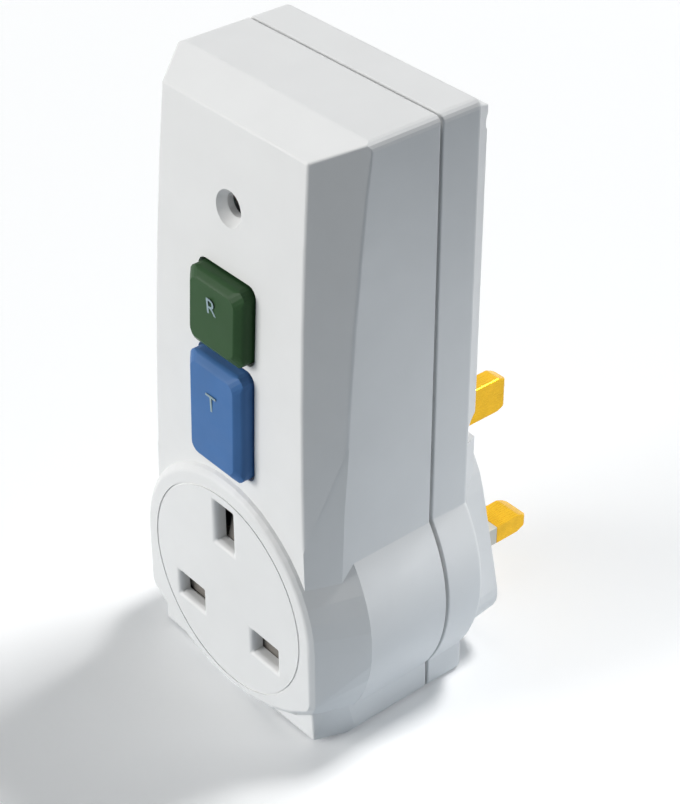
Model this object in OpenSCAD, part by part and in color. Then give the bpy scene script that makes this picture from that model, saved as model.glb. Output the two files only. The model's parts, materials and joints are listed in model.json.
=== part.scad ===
// Residual current adapter plug: a two-shell box that plugs into a wall socket, carries a socket
// on its front, and cuts the supply through a sprung trip mechanism behind two buttons.
// X runs to the right seen from the front, Y runs towards the wall, Z runs up.
// The origin is on the plug face, midway between the line and neutral pins.

/* [Housing] */
// Width of the main body
body_w = 50.3; // [49:0.1:56]
// Height of the top above the pin line
body_top = 106.3; // [105:0.1:118]
// Depth of the foot below the pin line
foot_drop = 16; // [15.6:0.1:20]
// Rounding of the body's corners seen from the front
corner_r = 1.5; // [0.5:0.1:3]
// Radius of the round lobe about the socket
lobe_r = 30.3; // [29.5:0.1:34]
// Height of the lobe's centre above the pin line
lobe_z = 7.8; // [7:0.1:9]
// Depth of the rear shell, from parting line to back face
rear_d = 9.2; // [8.6:0.1:12]
// Depth of the front shell at its fullest height
front_d = 26.7; // [26:0.1:32]
// Radius of the bow of the front face, seen from the side
bow_r = 880; // [700:10:1500]
// Height at which the bowed front is fullest
bow_z = 20; // [10:1:30]
// Depth of the side facets, from front face to crease
facet_d = 8.3; // [6:0.1:10]
// Width of the front face at its top edge
face_top_w = 38.2; // [36:0.1:44]
// Width of the front face at its foot
face_foot_w = 45.6; // [42:0.1:47]
// Drop of the front face's top edge below the top
face_drop = 3.1; // [1.5:0.1:4]
// Thickness of the housing walls
wall = 2.2; // [1.8:0.1:2.5]
// Rounding of the rear edges
back_r = 1.2; // [0.6:0.1:2]
// Height of the raised back panel above the back face
panel_h = 5; // [4.4:0.1:5.6]
// Inset of the panel's flat from the body's sides
panel_inset = 4.2; // [3:0.1:5]
// Height of the panel's lower edge above the pin line
panel_z = 22; // [18:0.5:26]
// Shadow gap at the parting line
parting_gap = 0.6; // [0.3:0.1:1]
// Height of the locating lip inside the parting line
lip_h = 2; // [1:0.1:3]
// Thickness of the locating lip
lip_t = 0.9; // [0.7:0.1:1.1]

/* [Socket face] */
// Radius of the raised socket plate
plate_r = 24.9; // [24:0.1:25.5]
// Rise of the socket plate above the front face
plate_rise = 1.3; // [0.8:0.1:2]
// Thickness of the socket plate
plate_t = 2.5; // [2:0.1:3]
// Width of the bevel round the socket plate
plate_bevel = 0.9; // [0.3:0.1:1.4]
// Depth of the bevel round the socket plate
plate_bevel_d = 0.8; // [0.3:0.1:1.2]
// Lowest point of the socket plate below the pin line
plate_drop = 15.8; // [15:0.1:16]
// Radius of the plate's lower edge
plate_foot_r = 36; // [32:0.5:45]
// Rounding of the plate's lower corners
plate_corner_r = 4; // [3:0.1:6]
// Radius of the fine ring groove round the slots
ring_r = 21.4; // [19:0.1:22]
// Width of the ring groove
ring_w = 0.4; // [0.3:0.1:1]
// Depth of the ring groove
ring_d = 0.25; // [0.2:0.05:0.6]
// Width of the line and neutral slots
slot_w = 7.2; // [6.8:0.1:7.6]
// Height of the line and neutral slots
slot_h = 5; // [4.6:0.1:5.2]
// Width of the earth slot
earth_slot_w = 5; // [4.6:0.1:5.2]
// Height of the earth slot
earth_slot_h = 8.9; // [8.6:0.1:9.4]
// Widening of the slots at the front
slot_lead = 0.6; // [0.2:0.1:1]
// Depth of that widening
slot_lead_d = 0.8; // [0.3:0.1:1.2]

/* [Plug] */
// Distance between the line and neutral pins
pin_pitch = 22.23; // [21.8:0.01:23]
// Height of the earth pin above the pin line
earth_rise = 22.23; // [21.8:0.01:23]
// Width of the line and neutral pins
pin_w = 6.35; // [6.2:0.01:6.5]
// Thickness of the line and neutral pins
pin_t = 4; // [3.9:0.01:4.1]
// Length of the line and neutral pins from the plug face
pin_l = 17.7; // [17:0.1:18.5]
// Length of the insulating sleeves from the plug face
sleeve_l = 9.5; // [9:0.1:10]
// Thickness of the insulating sleeves
sleeve_t = 0.5; // [0.4:0.05:0.6]
// Width of the earth pin
earth_w = 4; // [3.9:0.01:4.1]
// Height of the earth pin's section
earth_h = 8; // [7.8:0.01:8.1]
// Length of the earth pin from the plug face
earth_l = 22.7; // [22:0.1:23.5]
// Bevel at the sides of the pin tips
pin_bevel = 0.7; // [0.3:0.1:1.2]
// Length of the taper at the pin tips
pin_taper = 2.2; // [1.2:0.1:3]
// Thinning of the pin tips above and below
pin_thin = 1; // [0.6:0.1:1.2]
// Height of the plug boss above the back face
boss_h = 9.5; // [8.8:0.1:11]
// Radius of the boss's rounded top
boss_top_r = 20; // [18:0.1:21]
// Height of the centre of that rounding
boss_top_z = 15; // [14:0.1:17]
// Half width of the boss at its lower corners
boss_hw = 24.7; // [24:0.1:25.2]
// Depth of the boss's lower corners below the pin line
boss_corner_drop = 9.4; // [8:0.1:10]
// Rounding of the boss's lower corners
boss_corner_r = 6.5; // [5:0.1:7.5]
// Lowest point of the boss below the pin line
boss_drop = 14.2; // [13.6:0.1:14.6]
// Draft of the boss, added at its root
boss_draft = 0.9; // [0:0.1:1]
// Thickness of the plug face
boss_t = 2.5; // [2.2:0.1:3]

/* [Buttons] */
// Width of the button windows
win_w = 15.9; // [14:0.1:17]
// Height of the lower window's bottom edge above the pin line
win_z = 36; // [35.5:0.1:37]
// Height of the test button's window
test_win_h = 22.9; // [21:0.1:24]
// Bar between the two windows
win_bar = 1.1; // [1:0.1:2]
// Height of the reset button's window
reset_win_h = 15.7; // [15:0.1:17]
// Rounding of the windows' corners
win_r = 2; // [1:0.1:3]
// Gap round each button
button_gap = 0.4; // [0.3:0.05:0.7]
// Rise of the buttons above the front face
button_rise = 3.2; // [3:0.1:4]
// Width of the bevel round the button tops
button_bevel = 1.5; // [0.5:0.1:2]
// Depth of the bevel round the button tops
button_bevel_d = 1.2; // [0.5:0.1:2]
// Travel of the reset button
reset_travel = 2.9; // [2.5:0.1:3]
// Travel of the test button
test_travel = 2.2; // [1.5:0.1:2.5]
// Thickness of the buttons' flanges
flange_t = 1.5; // [1.2:0.1:2]
// Reach of the flanges behind the front wall
flange_lip = 1.2; // [0.8:0.1:1.5]
// Radius of the reset button's stem
reset_stem_r = 3; // [2:0.1:3.2]
// Radius of the test button's stem
test_stem_r = 2.4; // [1.5:0.1:2.5]

/* [Indicator] */
// Height of the indicator hole above the pin line
ind_z = 87.6; // [87:0.1:89]
// Radius of the indicator hole's rim
ind_rim_r = 3.4; // [3:0.1:4]
// Radius of the indicator hole's floor
ind_r = 2.25; // [1.8:0.05:2.4]
// Depth of the indicator hole's cone
ind_cone_d = 1.5; // [1:0.1:1.6]
// Radius of the clear lens behind the hole
lens_r = 4.5; // [4:0.1:5]
// Thickness of the lens
lens_t = 1.2; // [1:0.1:1.6]
// Thickness of the flag
flag_t = 1.2; // [1:0.1:1.5]
// Radius at which the cam moves the flag's tail
flag_cam_r = 5; // [4.8:0.1:5.2]
// Radius of the flag's pivot pin
flag_pin_r = 1.2; // [1:0.1:1.4]

/* [Mechanism] */
// Thickness of the circuit board
pcb_t = 1.6; // [1.2:0.1:2]
// Half width of the circuit board
pcb_hw = 19; // [18.5:0.1:19.5]
// Height of the pads that carry the circuit board
standoff_h = 4.9; // [4.5:0.1:5.4]
// Thickness of the mechanism frame's walls
frame_t = 1.5; // [1.3:0.1:1.8]
// Thickness of the brass strips
strip_t = 0.8; // [0.6:0.05:0.9]
// Width of the brass strips
strip_w = 3.9; // [3:0.1:4]
// Radius of the silver contact tips
tip_r = 1.5; // [1.2:0.1:1.6]
// Height of the fixed contact tips
tip_h = 2.3; // [2:0.1:2.6]
// Thickness of the contact carrier
carrier_t = 4; // [3.5:0.1:4.5]
// Radius of the latch's pivot pin
latch_pin_r = 1.25; // [1:0.05:1.4]
// Distance from the latch's pivot to the plunger
latch_arm = 5.5; // [5.3:0.1:6]
// Travel of the trip plunger
trip_travel = 1.6; // [1.2:0.1:1.7]
// Radius of the trip plunger
plunger_r = 2.5; // [2.3:0.1:2.6]
// Outer radius of the trip coil
coil_r = 7; // [6:0.1:7.2]
// Outer radius of the sensing transformer
ct_r = 10.6; // [10:0.1:11]
// Height of the sensing transformer
ct_h = 9.4; // [8:0.1:9.6]
// Radius of the insulated wires
wire_r = 1.25; // [1:0.05:1.35]
// Travel of the safety shutter
shutter_travel = 6; // [5.7:0.1:6.2]
// Thickness of the safety shutter
shutter_t = 1.7; // [1.4:0.1:2]
// Depth of the socket contacts
clip_d = 13; // [12:0.1:14]

/* [Fasteners] */
// Radius of the case screws' heads
screw_head_r = 2.6; // [2.4:0.1:2.8]
// Height of the case screws' heads
screw_head_h = 1.8; // [1.5:0.1:2]
// Radius of the case screws' shanks
screw_r = 1.45; // [1.2:0.05:1.5]
// Length of the case screws' shanks
screw_l = 18; // [16:0.5:19]
// Radius of the small screws' heads
small_head_r = 2; // [1.8:0.1:2.2]
// Height of the small screws' heads
small_head_h = 1.3; // [1:0.1:1.5]
// Radius of the small screws' shanks
small_screw_r = 1; // [0.9:0.05:1.1]
// Length of the small screws' shanks
small_screw_l = 5; // [4:0.5:5.5]

/* [Fits] */
// Gap between fixed pieces that slip together
fit = 0.1; // [0.05:0.01:0.15]
// Gap between pieces that slide
slide_gap = 0.3; // [0.25:0.01:0.4]
// Radial gap between a pivot pin and its bore
pivot_gap = 0.05; // [0.03:0.01:0.08]

/* [Hidden] */
$fn = 48;
cut = 1;
skin = 0.02;

// Depth stations, from the wall side to the front
body_hw = body_w / 2;
back_y = -boss_h;
parting_y = back_y - rear_d;
front_edge_y = parting_y - parting_gap / 2;
rear_edge_y = parting_y + parting_gap / 2;
face_y = parting_y - front_d;
plate_y = face_y - plate_rise;
plate_in_y = plate_y + plate_t;
rear_in_y = back_y - wall;
rim_y = back_y - back_r;
panel_y = back_y + panel_h;
panel_in_y = panel_y - wall;
panel_step = 0.8;
lobe_back_r = 1.2 * back_r;
crease_y = face_y + facet_d;

// Front face
foot_lift = 0.8;
facet_inset = 0.6;
bow_steps = 8;
face_top_z = body_top - face_drop;
face_foot_z = foot_lift - foot_drop;
function bow(z) = pow(z - bow_z, 2) / (2 * bow_r);
function face(z) = face_y + bow(z);
function face_hw(z) =
  (face_foot_w + (face_top_w - face_foot_w) * (z - face_foot_z) / (face_top_z - face_foot_z)) / 2;

// Pins and their seats inside the boss
pin_x = pin_pitch / 2;
shoulder_t = 2.5;
shoulder_lip = 1.3;
shoulder_y = -boss_t - shoulder_t;
clamp_t = 1.6;
clamp_y = shoulder_y - clamp_t;
stub_r = 1.8;
stub_l = 2.4;
stub_end_y = clamp_y - stub_l;
clamp_hw = 17;
clamp_foot = 3.9;
clamp_screw_x = 14;
clamp_screw_z = 12;
clamp_screw_rim = 4;
clamp_side_z = clamp_screw_z + clamp_screw_rim;
clamp_stub_rim = 5;
clamp_top_hw = stub_r + clamp_stub_rim;
clamp_top_rim = 2;
clamp_top_z = earth_rise + earth_h / 2 + clamp_top_rim;

// Windows, buttons and their flanges
test_z0 = win_z;
test_z1 = test_z0 + test_win_h;
reset_z0 = test_z1 + win_bar;
reset_z1 = reset_z0 + reset_win_h;
test_zc = (test_z0 + test_z1) / 2;
reset_zc = (reset_z0 + reset_z1) / 2;
pad_margin = 2.2;
pad_y = face(reset_z1 + pad_margin) + wall + slide_gap;
flange_y = pad_y + fit;
flange_back_y = flange_y + flange_t;
bar_lip = (win_bar - slide_gap) / 2;

// Board, frame and contacts, counted forward from the rear wall
pcb_back_y = panel_in_y - standoff_h;
pcb_y = pcb_back_y - pcb_t;
frame_y = pcb_y - frame_t;
strip_y = frame_y - strip_t;
tip_y = strip_y - tip_h;
contact_gap = 0.1;
moving_tip_h = 1;
blade_back_y = tip_y - reset_travel - contact_gap - moving_tip_h;
carrier_back_y = blade_back_y - strip_t;
carrier_y = carrier_back_y - carrier_t;
carrier_boss_h = 3;
carrier_boss_y = carrier_y - carrier_boss_h;
contact_drop = 12;
contact_z = reset_zc - contact_drop;
carrier_rise = 4.2;
carrier_top = reset_zc + carrier_rise;
carrier_drop = 3.9;
carrier_foot = contact_z - carrier_drop;

// Socket contacts, shutter and the block that holds them
shutter_y = plate_in_y + fit * 2;
shutter_back_y = shutter_y + shutter_t;
block_y = shutter_back_y + fit * 2;
clip_y = block_y + fit * 2;
clip_back_y = clip_y + clip_d + strip_t;
clip_w = 5.8;
clip_grip = 0.2;
clip_flare = 0.7;
clip_lead = 2.5;
earth_strap_hh = 3;
block_r = 2;
spring_room = 1;
spring_relief = 1.2;
ear_post_gap = 1.5;
ear_post_t = 1.6;
strip_x = pin_x + clip_w / 2;
block_rim = 5;
block_hw = strip_x + block_rim;
block_wall = 1.5;
pocket_gap = 0.3;
clip_hh = pin_t / 2 + strip_t + clip_flare;
earth_clip_hw = earth_w / 2 + strip_t + clip_flare;
earth_clip_h = 7.4;
block_foot = clip_hh + pocket_gap + block_wall;
block_head = 3;
block_top = earth_rise + earth_clip_h / 2 + pocket_gap + block_head;
ear_reach = 8;
ear_x = strip_x + ear_reach;
ear_r = 3;
ear_t = 2.5;
ear_y = clip_back_y - ear_t;

// Shutter outline
blind_lap = 0.9;
shutter_hw = pin_x + slot_w / 2 + blind_lap;
blind_drop = 0.5;
shutter_foot = slot_h / 2 + blind_drop;
shutter_chamfer = 1.2;
blind_rise = 0.8;
shutter_win_z = slot_h / 2 + blind_rise;
shutter_win_spare = 1;
shutter_win_h = slot_h + shutter_win_spare;
shutter_win_play = 0.4;
shutter_bridge = 2.7;
shutter_shoulder_z = shutter_win_z + shutter_win_h + shutter_bridge;
shutter_neck_hw = 5;
ramp_hw = earth_slot_w / 2 - slide_gap;
ramp_top = earth_rise - earth_h / 2 - slide_gap + shutter_travel;
ramp_rise = 6;
ramp_land = 0.4;
rail_x = shutter_hw + slide_gap;
rail_top = 18;

// Mechanism frame
frame_rise = 7;
frame_floor_z = win_z + frame_rise;
strip_room = 0.7;
frame_in = strip_x + strip_t + strip_room;
frame_hw = frame_in + frame_t;
frame_reach = 6;
frame_front_y = carrier_y - frame_reach;
latch_rise = 6;
latch_z = carrier_top + latch_rise;
shelf_rise = 5;
shelf_z = latch_z + shelf_rise;
shelf_top = shelf_z + frame_t;
latch_stand = 2.9;
latch_y = frame_y - latch_stand;
plunger_y = latch_y - latch_arm;
shelf_rim = 1;
shelf_y = plunger_y - coil_r - shelf_rim;
frame_screw_x = 11;
frame_screw_rise = 3.2;
frame_screw_z = reset_zc + frame_screw_rise;
lug_h = 4;
lug_reach = 1.2;
lug_l = 3;

// Trip solenoid
yoke_t = 1.5;
yoke_hw = 7;
bobbin_t = 1.2;
bobbin_lip = 0.4;
bobbin_r = coil_r + bobbin_lip;
bore_gap = 0.35;
bore_r = plunger_r + bore_gap;
tube_t = 0.75;
tube_r = bore_r + tube_t;
coil_foot = shelf_top + yoke_t;
head_room = 1.5;
coil_top = body_top - wall - head_room - yoke_t;
yoke_gap = 0.2;
yoke_back_y = plunger_y + bobbin_r + yoke_gap;
stop_h = 4;
stop_pin_r = 1.5;
neck_r = 1.6;
latch_t = 1.6;
knob_h = 1.3;
neck_below = 1;
neck_z = latch_z - latch_t / 2 - neck_below;
neck_above = 1.4;
neck_top = latch_z + latch_t / 2 + neck_above;
plunger_spring_h = 5;
plunger_top = coil_top - stop_h - plunger_spring_h;

// Latch lever
latch_hw = 3.5;
latch_hub_t = 1.15;
latch_hub_r = latch_pin_r + latch_hub_t;
latch_hub_l = 12;
hook_lap = 0.8;
hook_y = carrier_y - hook_lap;
hook_t = 1.6;
slot_hw = neck_r + slide_gap;
neck_play = 0.7;

// Indicator flag
flag_boss_r = 2.2;
flag_pivot_z = reset_z1 + flange_lip + slide_gap + flag_boss_r;
flag_room = 0.8;
flag_y = flange_back_y + reset_travel + flag_room;
flag_back_y = flag_y + flag_t;
flag_half = reset_travel / flag_cam_r / 2 * 180 / PI;
flag_span = 2.1 * flag_half;
flag_rim = 0.3;
marker_inset = 1;
flag_lap = 0.8;
flag_r = ind_z - flag_pivot_z + ind_r + flag_lap;
tail_hw = 1;
tail_spare = 1.2;
tail_end = flag_cam_r + tail_spare;
marker_t = 0.3;
flag_pin_over = 0.8;
cam_root = 1;
cam_cut = 0.5;
collar_wall = 1.2;
lens_y = face(ind_z + lens_r + collar_wall) + wall + fit;
cam_play = 0.15;
cam_foot = reset_zc + reset_stem_r + slide_gap + cam_play;
cam_rise = 0.9;
cam_top = flag_pivot_z - flag_cam_r + cam_rise;
cam_y = flange_back_y + slide_gap;
cam_over = 1.6;
cam_back_y = flag_back_y + cam_over;
cam_hw = 4.5;
cam_slack = 0.6;
cam_slot_hw = (tail_hw + flag_t / 2) / sqrt(2) + cam_slack;
cam_arm_w = 3.5;

// Sensing transformer
ct_y = (frame_y + frame_front_y) / 2;
ct_gap = 0.2;
ct_top = frame_floor_z - ct_gap;
ct_foot = ct_top - ct_h;
ct_turns_t = 1.2;
ct_bore_r = 4.6;
bush_r = 4.3;
bush_in_r = 3.5;
bush_flange_r = 7;
bush_flange_t = 1.2;
bush_lead = 1.5;
bush_foot = ct_foot - fit - bush_flange_t;

// Supply contacts and test contacts
wire_gap = 0.35;
wire_x = wire_r + wire_gap;
supply_inset = 8;
supply_x = strip_x - supply_inset;
load_inset = 1.7;
load_x = strip_x - load_inset;
tab_rise = 4;
tab_z = frame_floor_z + tab_rise;
tab_lap = 0.3;
tab_y = ct_y - wire_r - tab_lap;
leaf_t = 0.4;
leaf_h = 4;
leaf_inset = 1.5;
leaf_y = frame_front_y + leaf_inset;
leaf_back_y = leaf_y + leaf_t;
leaf_post_x = 12;
test_post_x = 4;
test_post_r = 0.9;
leaf_over = 2;
leaf_pillar = 3;
contact_hh = 2;
supply_hw = 1.7;
tip_rim = 0.3;
bridge_hh = 1.6;
stud_r = 1;

// Case screws
screw_sink = 0.5;
seat_y = back_y - screw_head_h - screw_sink;
screw_boss_t = 1.4;
screw_boss_r = screw_head_r + screw_boss_t;
post_t = 1.55;
post_r = screw_r + post_t;
top_screw_inset = 6.65;
top_screw_drop = 7.3;
mid_screw_inset = 4.65;
mid_screw_rise = 1.5;
foot_screw_rise = 7.5;
case_screw_xz = [
  [body_hw - top_screw_inset, body_top - top_screw_drop],
  [top_screw_inset - body_hw, body_top - top_screw_drop],
  [body_hw - mid_screw_inset, win_z + mid_screw_rise],
  [mid_screw_inset - body_hw, win_z + mid_screw_rise],
  [0, foot_screw_rise - foot_drop]
];
recess_l = 0.6;
recess_w = 0.12;
recess_d = 0.45;
small_boss_t = 0.6;
small_boss_r = small_head_r + small_boss_t;
hole_spare = 0.2;

// Board outline and parts
pcb_lift = 0.5;
pcb_foot = frame_floor_z + pcb_lift;
pcb_drop = 9.3;
pcb_top = body_top - pcb_drop;
pad_r = 2;
pad_rim = 4;
pad_inset = 1.5;
part_gap = 5;
part_x = body_hw - top_screw_inset - part_gap;
chip_hw = 1.95;
chip_hh = 2.45;
chip_reach = 3;
chip_t = 1.6;
chip_gap = 0.75;
chip_z = shelf_top + chip_hh + chip_gap;
cap_r = 3;
cap_h = 9;
cap_rim = 0.5;
cap_z = pcb_top - cap_r - cap_rim;
resistor_r = 1.2;
resistor_hl = 3.5;
resistor_gap = 0.5;
resistor_lift = 0.2;
resistor_z = shelf_top + resistor_r + resistor_gap;
resistor_y = pcb_y - resistor_r - resistor_lift;
varistor_r = 4;
varistor_t = 4;
varistor_gap = 1;
varistor_lift = 0.7;
varistor_z = resistor_z + resistor_r + varistor_gap;
varistor_y = pcb_y - varistor_r - varistor_lift;
lead_r = 0.4;

// Springs
spring_sides = 6;
curl_rings = 8;
spring_wire_r = 0.3;
spring_seat = 0.1;
reset_spring_r = 2.6;
reset_curls = 6;
shutter_spring_r = 1;
shutter_spring_x = 6;
shutter_spring_y = plate_in_y + shutter_spring_r + spring_wire_r + fit;
spring_pad_t = 1.3;
spring_pad_z = wall - foot_drop + spring_pad_t;
spring_pad_hw = 1.6;
shutter_curls = 4;
plunger_spring_r = 1.8;
plunger_curls = 4;

// Route of the right-hand wire: back of its pin, up past the earth strap, through the transformer
wire_points = [
  [pin_x, stub_end_y, 0],
  [pin_x, stub_end_y - 2, 0],
  [pin_x, stub_end_y - 4, 0],
  [pin_x, ct_y + 6, 4],
  [pin_x - 1, ct_y + 4, 11],
  [pin_x - 4.5, ct_y + 1.5, bush_foot - 11],
  [wire_x + 1.6, ct_y, bush_foot - 3.5],
  [wire_x, ct_y, bush_foot + 1.5],
  [wire_x, ct_y, bush_foot + 8],
  [wire_x, ct_y, tab_z]
];
wire_steps = 3;
wire_sides = 8;

// Points along an arc, both ends included
function arc(cx, cz, r, a0, a1, n) =
  [for (k = [0:n]) let (a = a0 + (a1 - a0) * k / n) [cx + r * cos(a), cz + r * sin(a)]];

// Points along an arc, without its ends
function inner_arc(cx, cz, r, a0, a1, n) =
  [for (k = [1:n - 1]) let (a = a0 + (a1 - a0) * k / n) [cx + r * cos(a), cz + r * sin(a)]];

// Rectangle with rounded corners
function rounded(x0, z0, x1, z1, r) = concat(
  arc(x1 - r, z0 + r, r, -90, 0, 4), arc(x1 - r, z1 - r, r, 0, 90, 4),
  arc(x0 + r, z1 - r, r, 90, 180, 4), arc(x0 + r, z0 + r, r, 180, 270, 4));

function body_points(inset) = rounded(inset - body_hw, inset - foot_drop, body_hw - inset,
  body_top - inset, max(corner_r - inset, 0.2));

function panel_points(inset) = rounded(inset - body_hw, panel_z + inset, body_hw - inset,
  body_top - inset, max(corner_r - inset, 0.2));

// Socket plate: round above, straight sides, a wide arc below
function plate_points(inset) = let (
    r = plate_r - inset,
    foot_r = plate_foot_r - inset,
    corner_r = max(plate_corner_r - inset, 0.5),
    foot_z = plate_foot_r - plate_drop,
    corner_x = r - corner_r,
    corner_z = foot_z - sqrt(pow(foot_r - corner_r, 2) - pow(corner_x, 2)),
    turn = atan2(corner_z - foot_z, corner_x))
  concat(arc(0, lobe_z, r, 0, 180, 24), arc(-corner_x, corner_z, corner_r, 180, 180 - turn, 4),
    inner_arc(0, foot_z, foot_r, 180 - turn, 360 + turn, 8),
    arc(corner_x, corner_z, corner_r, turn, 0, 4));

// Plug boss: two round lower corners, a round top and a wide arc below
function boss_points(grow) = let (
    corner_x = boss_hw - boss_corner_r,
    corner_z = boss_corner_r - boss_corner_drop,
    above = corner_z + boss_drop,
    foot_r = (pow(corner_x, 2) + pow(above, 2) - pow(boss_corner_r, 2)) / (2 * (above - boss_corner_r)),
    foot_z = foot_r - boss_drop,
    dx = -corner_x,
    dz = boss_top_z - corner_z,
    side = atan2(dz, dx) - acos((boss_corner_r - boss_top_r) / norm([dx, dz])),
    turn = atan2(corner_z - foot_z, corner_x))
  concat(arc(corner_x, corner_z, boss_corner_r + grow, turn, side, 5),
    arc(0, boss_top_z, boss_top_r + grow, side, 180 - side, 16),
    arc(-corner_x, corner_z, boss_corner_r + grow, 180 - side, 180 - turn, 5),
    inner_arc(0, foot_z, foot_r + grow, 180 - turn, 360 + turn, 10));

// Corner points of the bowed front with its side and top facets, carried back to the parting line
function facet_points(inset) = [for (k = [0:bow_steps], side = [-1, 1], end = [0, 1]) let (
    z0 = face_foot_z + facet_inset * inset,
    z1 = face_top_z - facet_inset * inset,
    z = z0 + (z1 - z0) * k / bow_steps,
    y = face(z) + inset,
    x = face_hw(z) - facet_inset * inset,
    reach = (front_edge_y + cut - y) / (facet_d - facet_inset * inset),
    crease_z = k == 0 ? inset - foot_drop : k == bow_steps ? body_top - inset : z)
  end == 0 ? [side * x, y, z]
    : [side * (x + (body_hw - inset - x) * reach), front_edge_y + cut, z + (crease_z - z) * reach]];

// Tube swept along points, with rings turned about a reference direction
function unit(v) = v / norm(v);
function heading(path, i) = unit(path[min(i + 1, len(path) - 1)] - path[max(i - 1, 0)]);
function ring(centre, along, about, r, sides) = let (u = unit(cross(along, about)), v = cross(along, u))
  [for (k = [0:sides - 1]) centre + r * (cos(360 * k / sides) * u + sin(360 * k / sides) * v)];

module tube(path, r, about, sides) {
  last = (len(path) - 1) * sides;
  points = [for (i = [0:len(path) - 1]) each ring(path[i], heading(path, i), about, r, sides)];
  walls = [for (i = [0:len(path) - 2], k = [0:sides - 1])
    let (a = i * sides + k, b = i * sides + (k + 1) % sides)
    each [[a, b + sides, b], [a, a + sides, b + sides]]];
  caps = [for (k = [1:sides - 2]) each [[0, k, k + 1], [last, last + k + 1, last + k]]];
  polyhedron(points, concat(walls, caps));
}

// Helix along Z from its seat
function curl_path(r, h, curls) = [for (i = [0:curls * curl_rings]) let (a = 360 * i / curl_rings)
  [r * cos(a), r * sin(a), spring_wire_r + (h - 2 * spring_wire_r) * i / (curls * curl_rings)]];
function least_gap(path) = min([for (i = [0:len(path) - 1], j = [i:len(path) - 1])
  if (j - i > curl_rings / 2) norm(path[i] - path[j])]) - 2 * spring_wire_r;

module spring(r, h, curls) {
  path = curl_path(r, h, curls);
  echo(least_gap = least_gap(path));
  tube(path, spring_wire_r, [0, 0, 1], spring_sides);
}

// Smooth curve through the points of a wire
function smooth(p, i, t) = let (
    a = p[max(i - 1, 0)], b = p[i], c = p[i + 1], d = p[min(i + 2, len(p) - 1)])
  0.5 * (2 * b + (c - a) * t + (2 * a - 5 * b + 4 * c - d) * t * t + (3 * b - a - 3 * c + d) * t * t * t);
function smooth_path(p, steps) = concat(
  [for (i = [0:len(p) - 2], k = [0:steps - 1]) smooth(p, i, k / steps)], [p[len(p) - 1]]);

// Flat outline in X and Z, carried along Y from y0 back to y1
module along_y(y0, y1) translate([0, y1, 0]) rotate([90, 0, 0]) linear_extrude(y1 - y0) children();

// Flat outline in Y and Z, carried along X from x0 to x1
module along_x(x0, x1) translate([x0, 0, 0]) rotate([90, 0, 90]) linear_extrude(x1 - x0) children();

module rod_y(x, z, y0, y1, r) translate([x, y1, z]) rotate([90, 0, 0]) cylinder(h = y1 - y0, r = r);

module box(x0, x1, y0, y1, z0, z1) translate([x0, y0, z0]) cube([x1 - x0, y1 - y0, z1 - z0]);

module lobe_outline(inset) intersection() {
  translate([0, lobe_z]) circle(lobe_r - inset, $fn = 96);
  translate([-lobe_r, inset - foot_drop]) square(2 * lobe_r + foot_drop);
}

module case_outline(inset) {
  polygon(body_points(inset));
  lobe_outline(inset);
}

// Bowed body with its facets, behind the front face
module body_front(inset) {
  points = facet_points(inset);
  intersection() {
    hull() polyhedron(points, [for (i = [0:len(points) - 3]) [i, i + 1, i + 2]]);
    along_y(plate_y - cut, front_edge_y + cut) polygon(body_points(inset));
  }
}

// Lobe of the front shell, drawn in from the crease to the socket plate
module lobe_front(inset, top_y) {
  lobe_crease_y = crease_y + (1 - facet_inset) * inset;
  along_y(lobe_crease_y, front_edge_y + cut) lobe_outline(inset);
  intersection() {
    hull() {
      rod_y(0, lobe_z, lobe_crease_y, lobe_crease_y + skin, lobe_r - inset);
      along_y(top_y + plate_bevel_d, top_y + plate_bevel_d + skin) polygon(plate_points(inset));
      along_y(top_y, top_y + skin) polygon(plate_points(inset + plate_bevel));
    }
    box(-lobe_r, lobe_r, top_y - cut, front_edge_y + cut, inset - foot_drop, lobe_z + lobe_r);
  }
}

module front_solid(inset, top_y) {
  body_front(inset);
  lobe_front(inset, top_y);
}

// Slot through the socket plate, widened at the front
module slot(x, z, w, h) {
  lead_y = plate_y + slot_lead_d;
  box(x - w / 2, x + w / 2, plate_y - cut, plate_in_y + cut, z - h / 2, z + h / 2);
  intersection() {
    translate([x, 0, z - h]) linear_extrude(2 * h) polygon([[-w / 2 - slot_lead, plate_y],
      [w / 2 + slot_lead, plate_y], [w / 2, lead_y], [-w / 2, lead_y]]);
    translate([0, 0, z]) along_x(x - w, x + w) polygon([[plate_y, -h / 2 - slot_lead],
      [lead_y, -h / 2], [lead_y, h / 2], [plate_y, h / 2 + slot_lead]]);
  }
}

module window(z0, z1) along_y(plate_y - cut, pad_y + cut)
  polygon(rounded(-win_w / 2, z0, win_w / 2, z1, win_r));

// Front end of a post, kept inside the facet it grows from
function post_y(x, z) = max(face(z), face(z)
  + facet_d * (abs(x) + post_r - face_hw(z)) / (body_hw - face_hw(z))) + 0.6 * wall;

module front_posts() {
  for (p = case_screw_xz)
    rod_y(p[0], p[1], p[1] < 0 ? plate_in_y - 0.5 * plate_t : post_y(p[0], p[1]), parting_y, post_r);
  for (side = [-1, 1])
    rod_y(side * ear_x, lobe_z, plate_in_y + ear_post_gap, ear_y, small_screw_r + ear_post_t);
}

// Small seats under the shutter's springs
module spring_pads() for (side = [-1, 1])
  box(side * shutter_spring_x - spring_pad_hw, side * shutter_spring_x + spring_pad_hw, plate_in_y - skin,
    shutter_spring_y + spring_pad_hw, wall / 2 - foot_drop, spring_pad_z);

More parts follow.
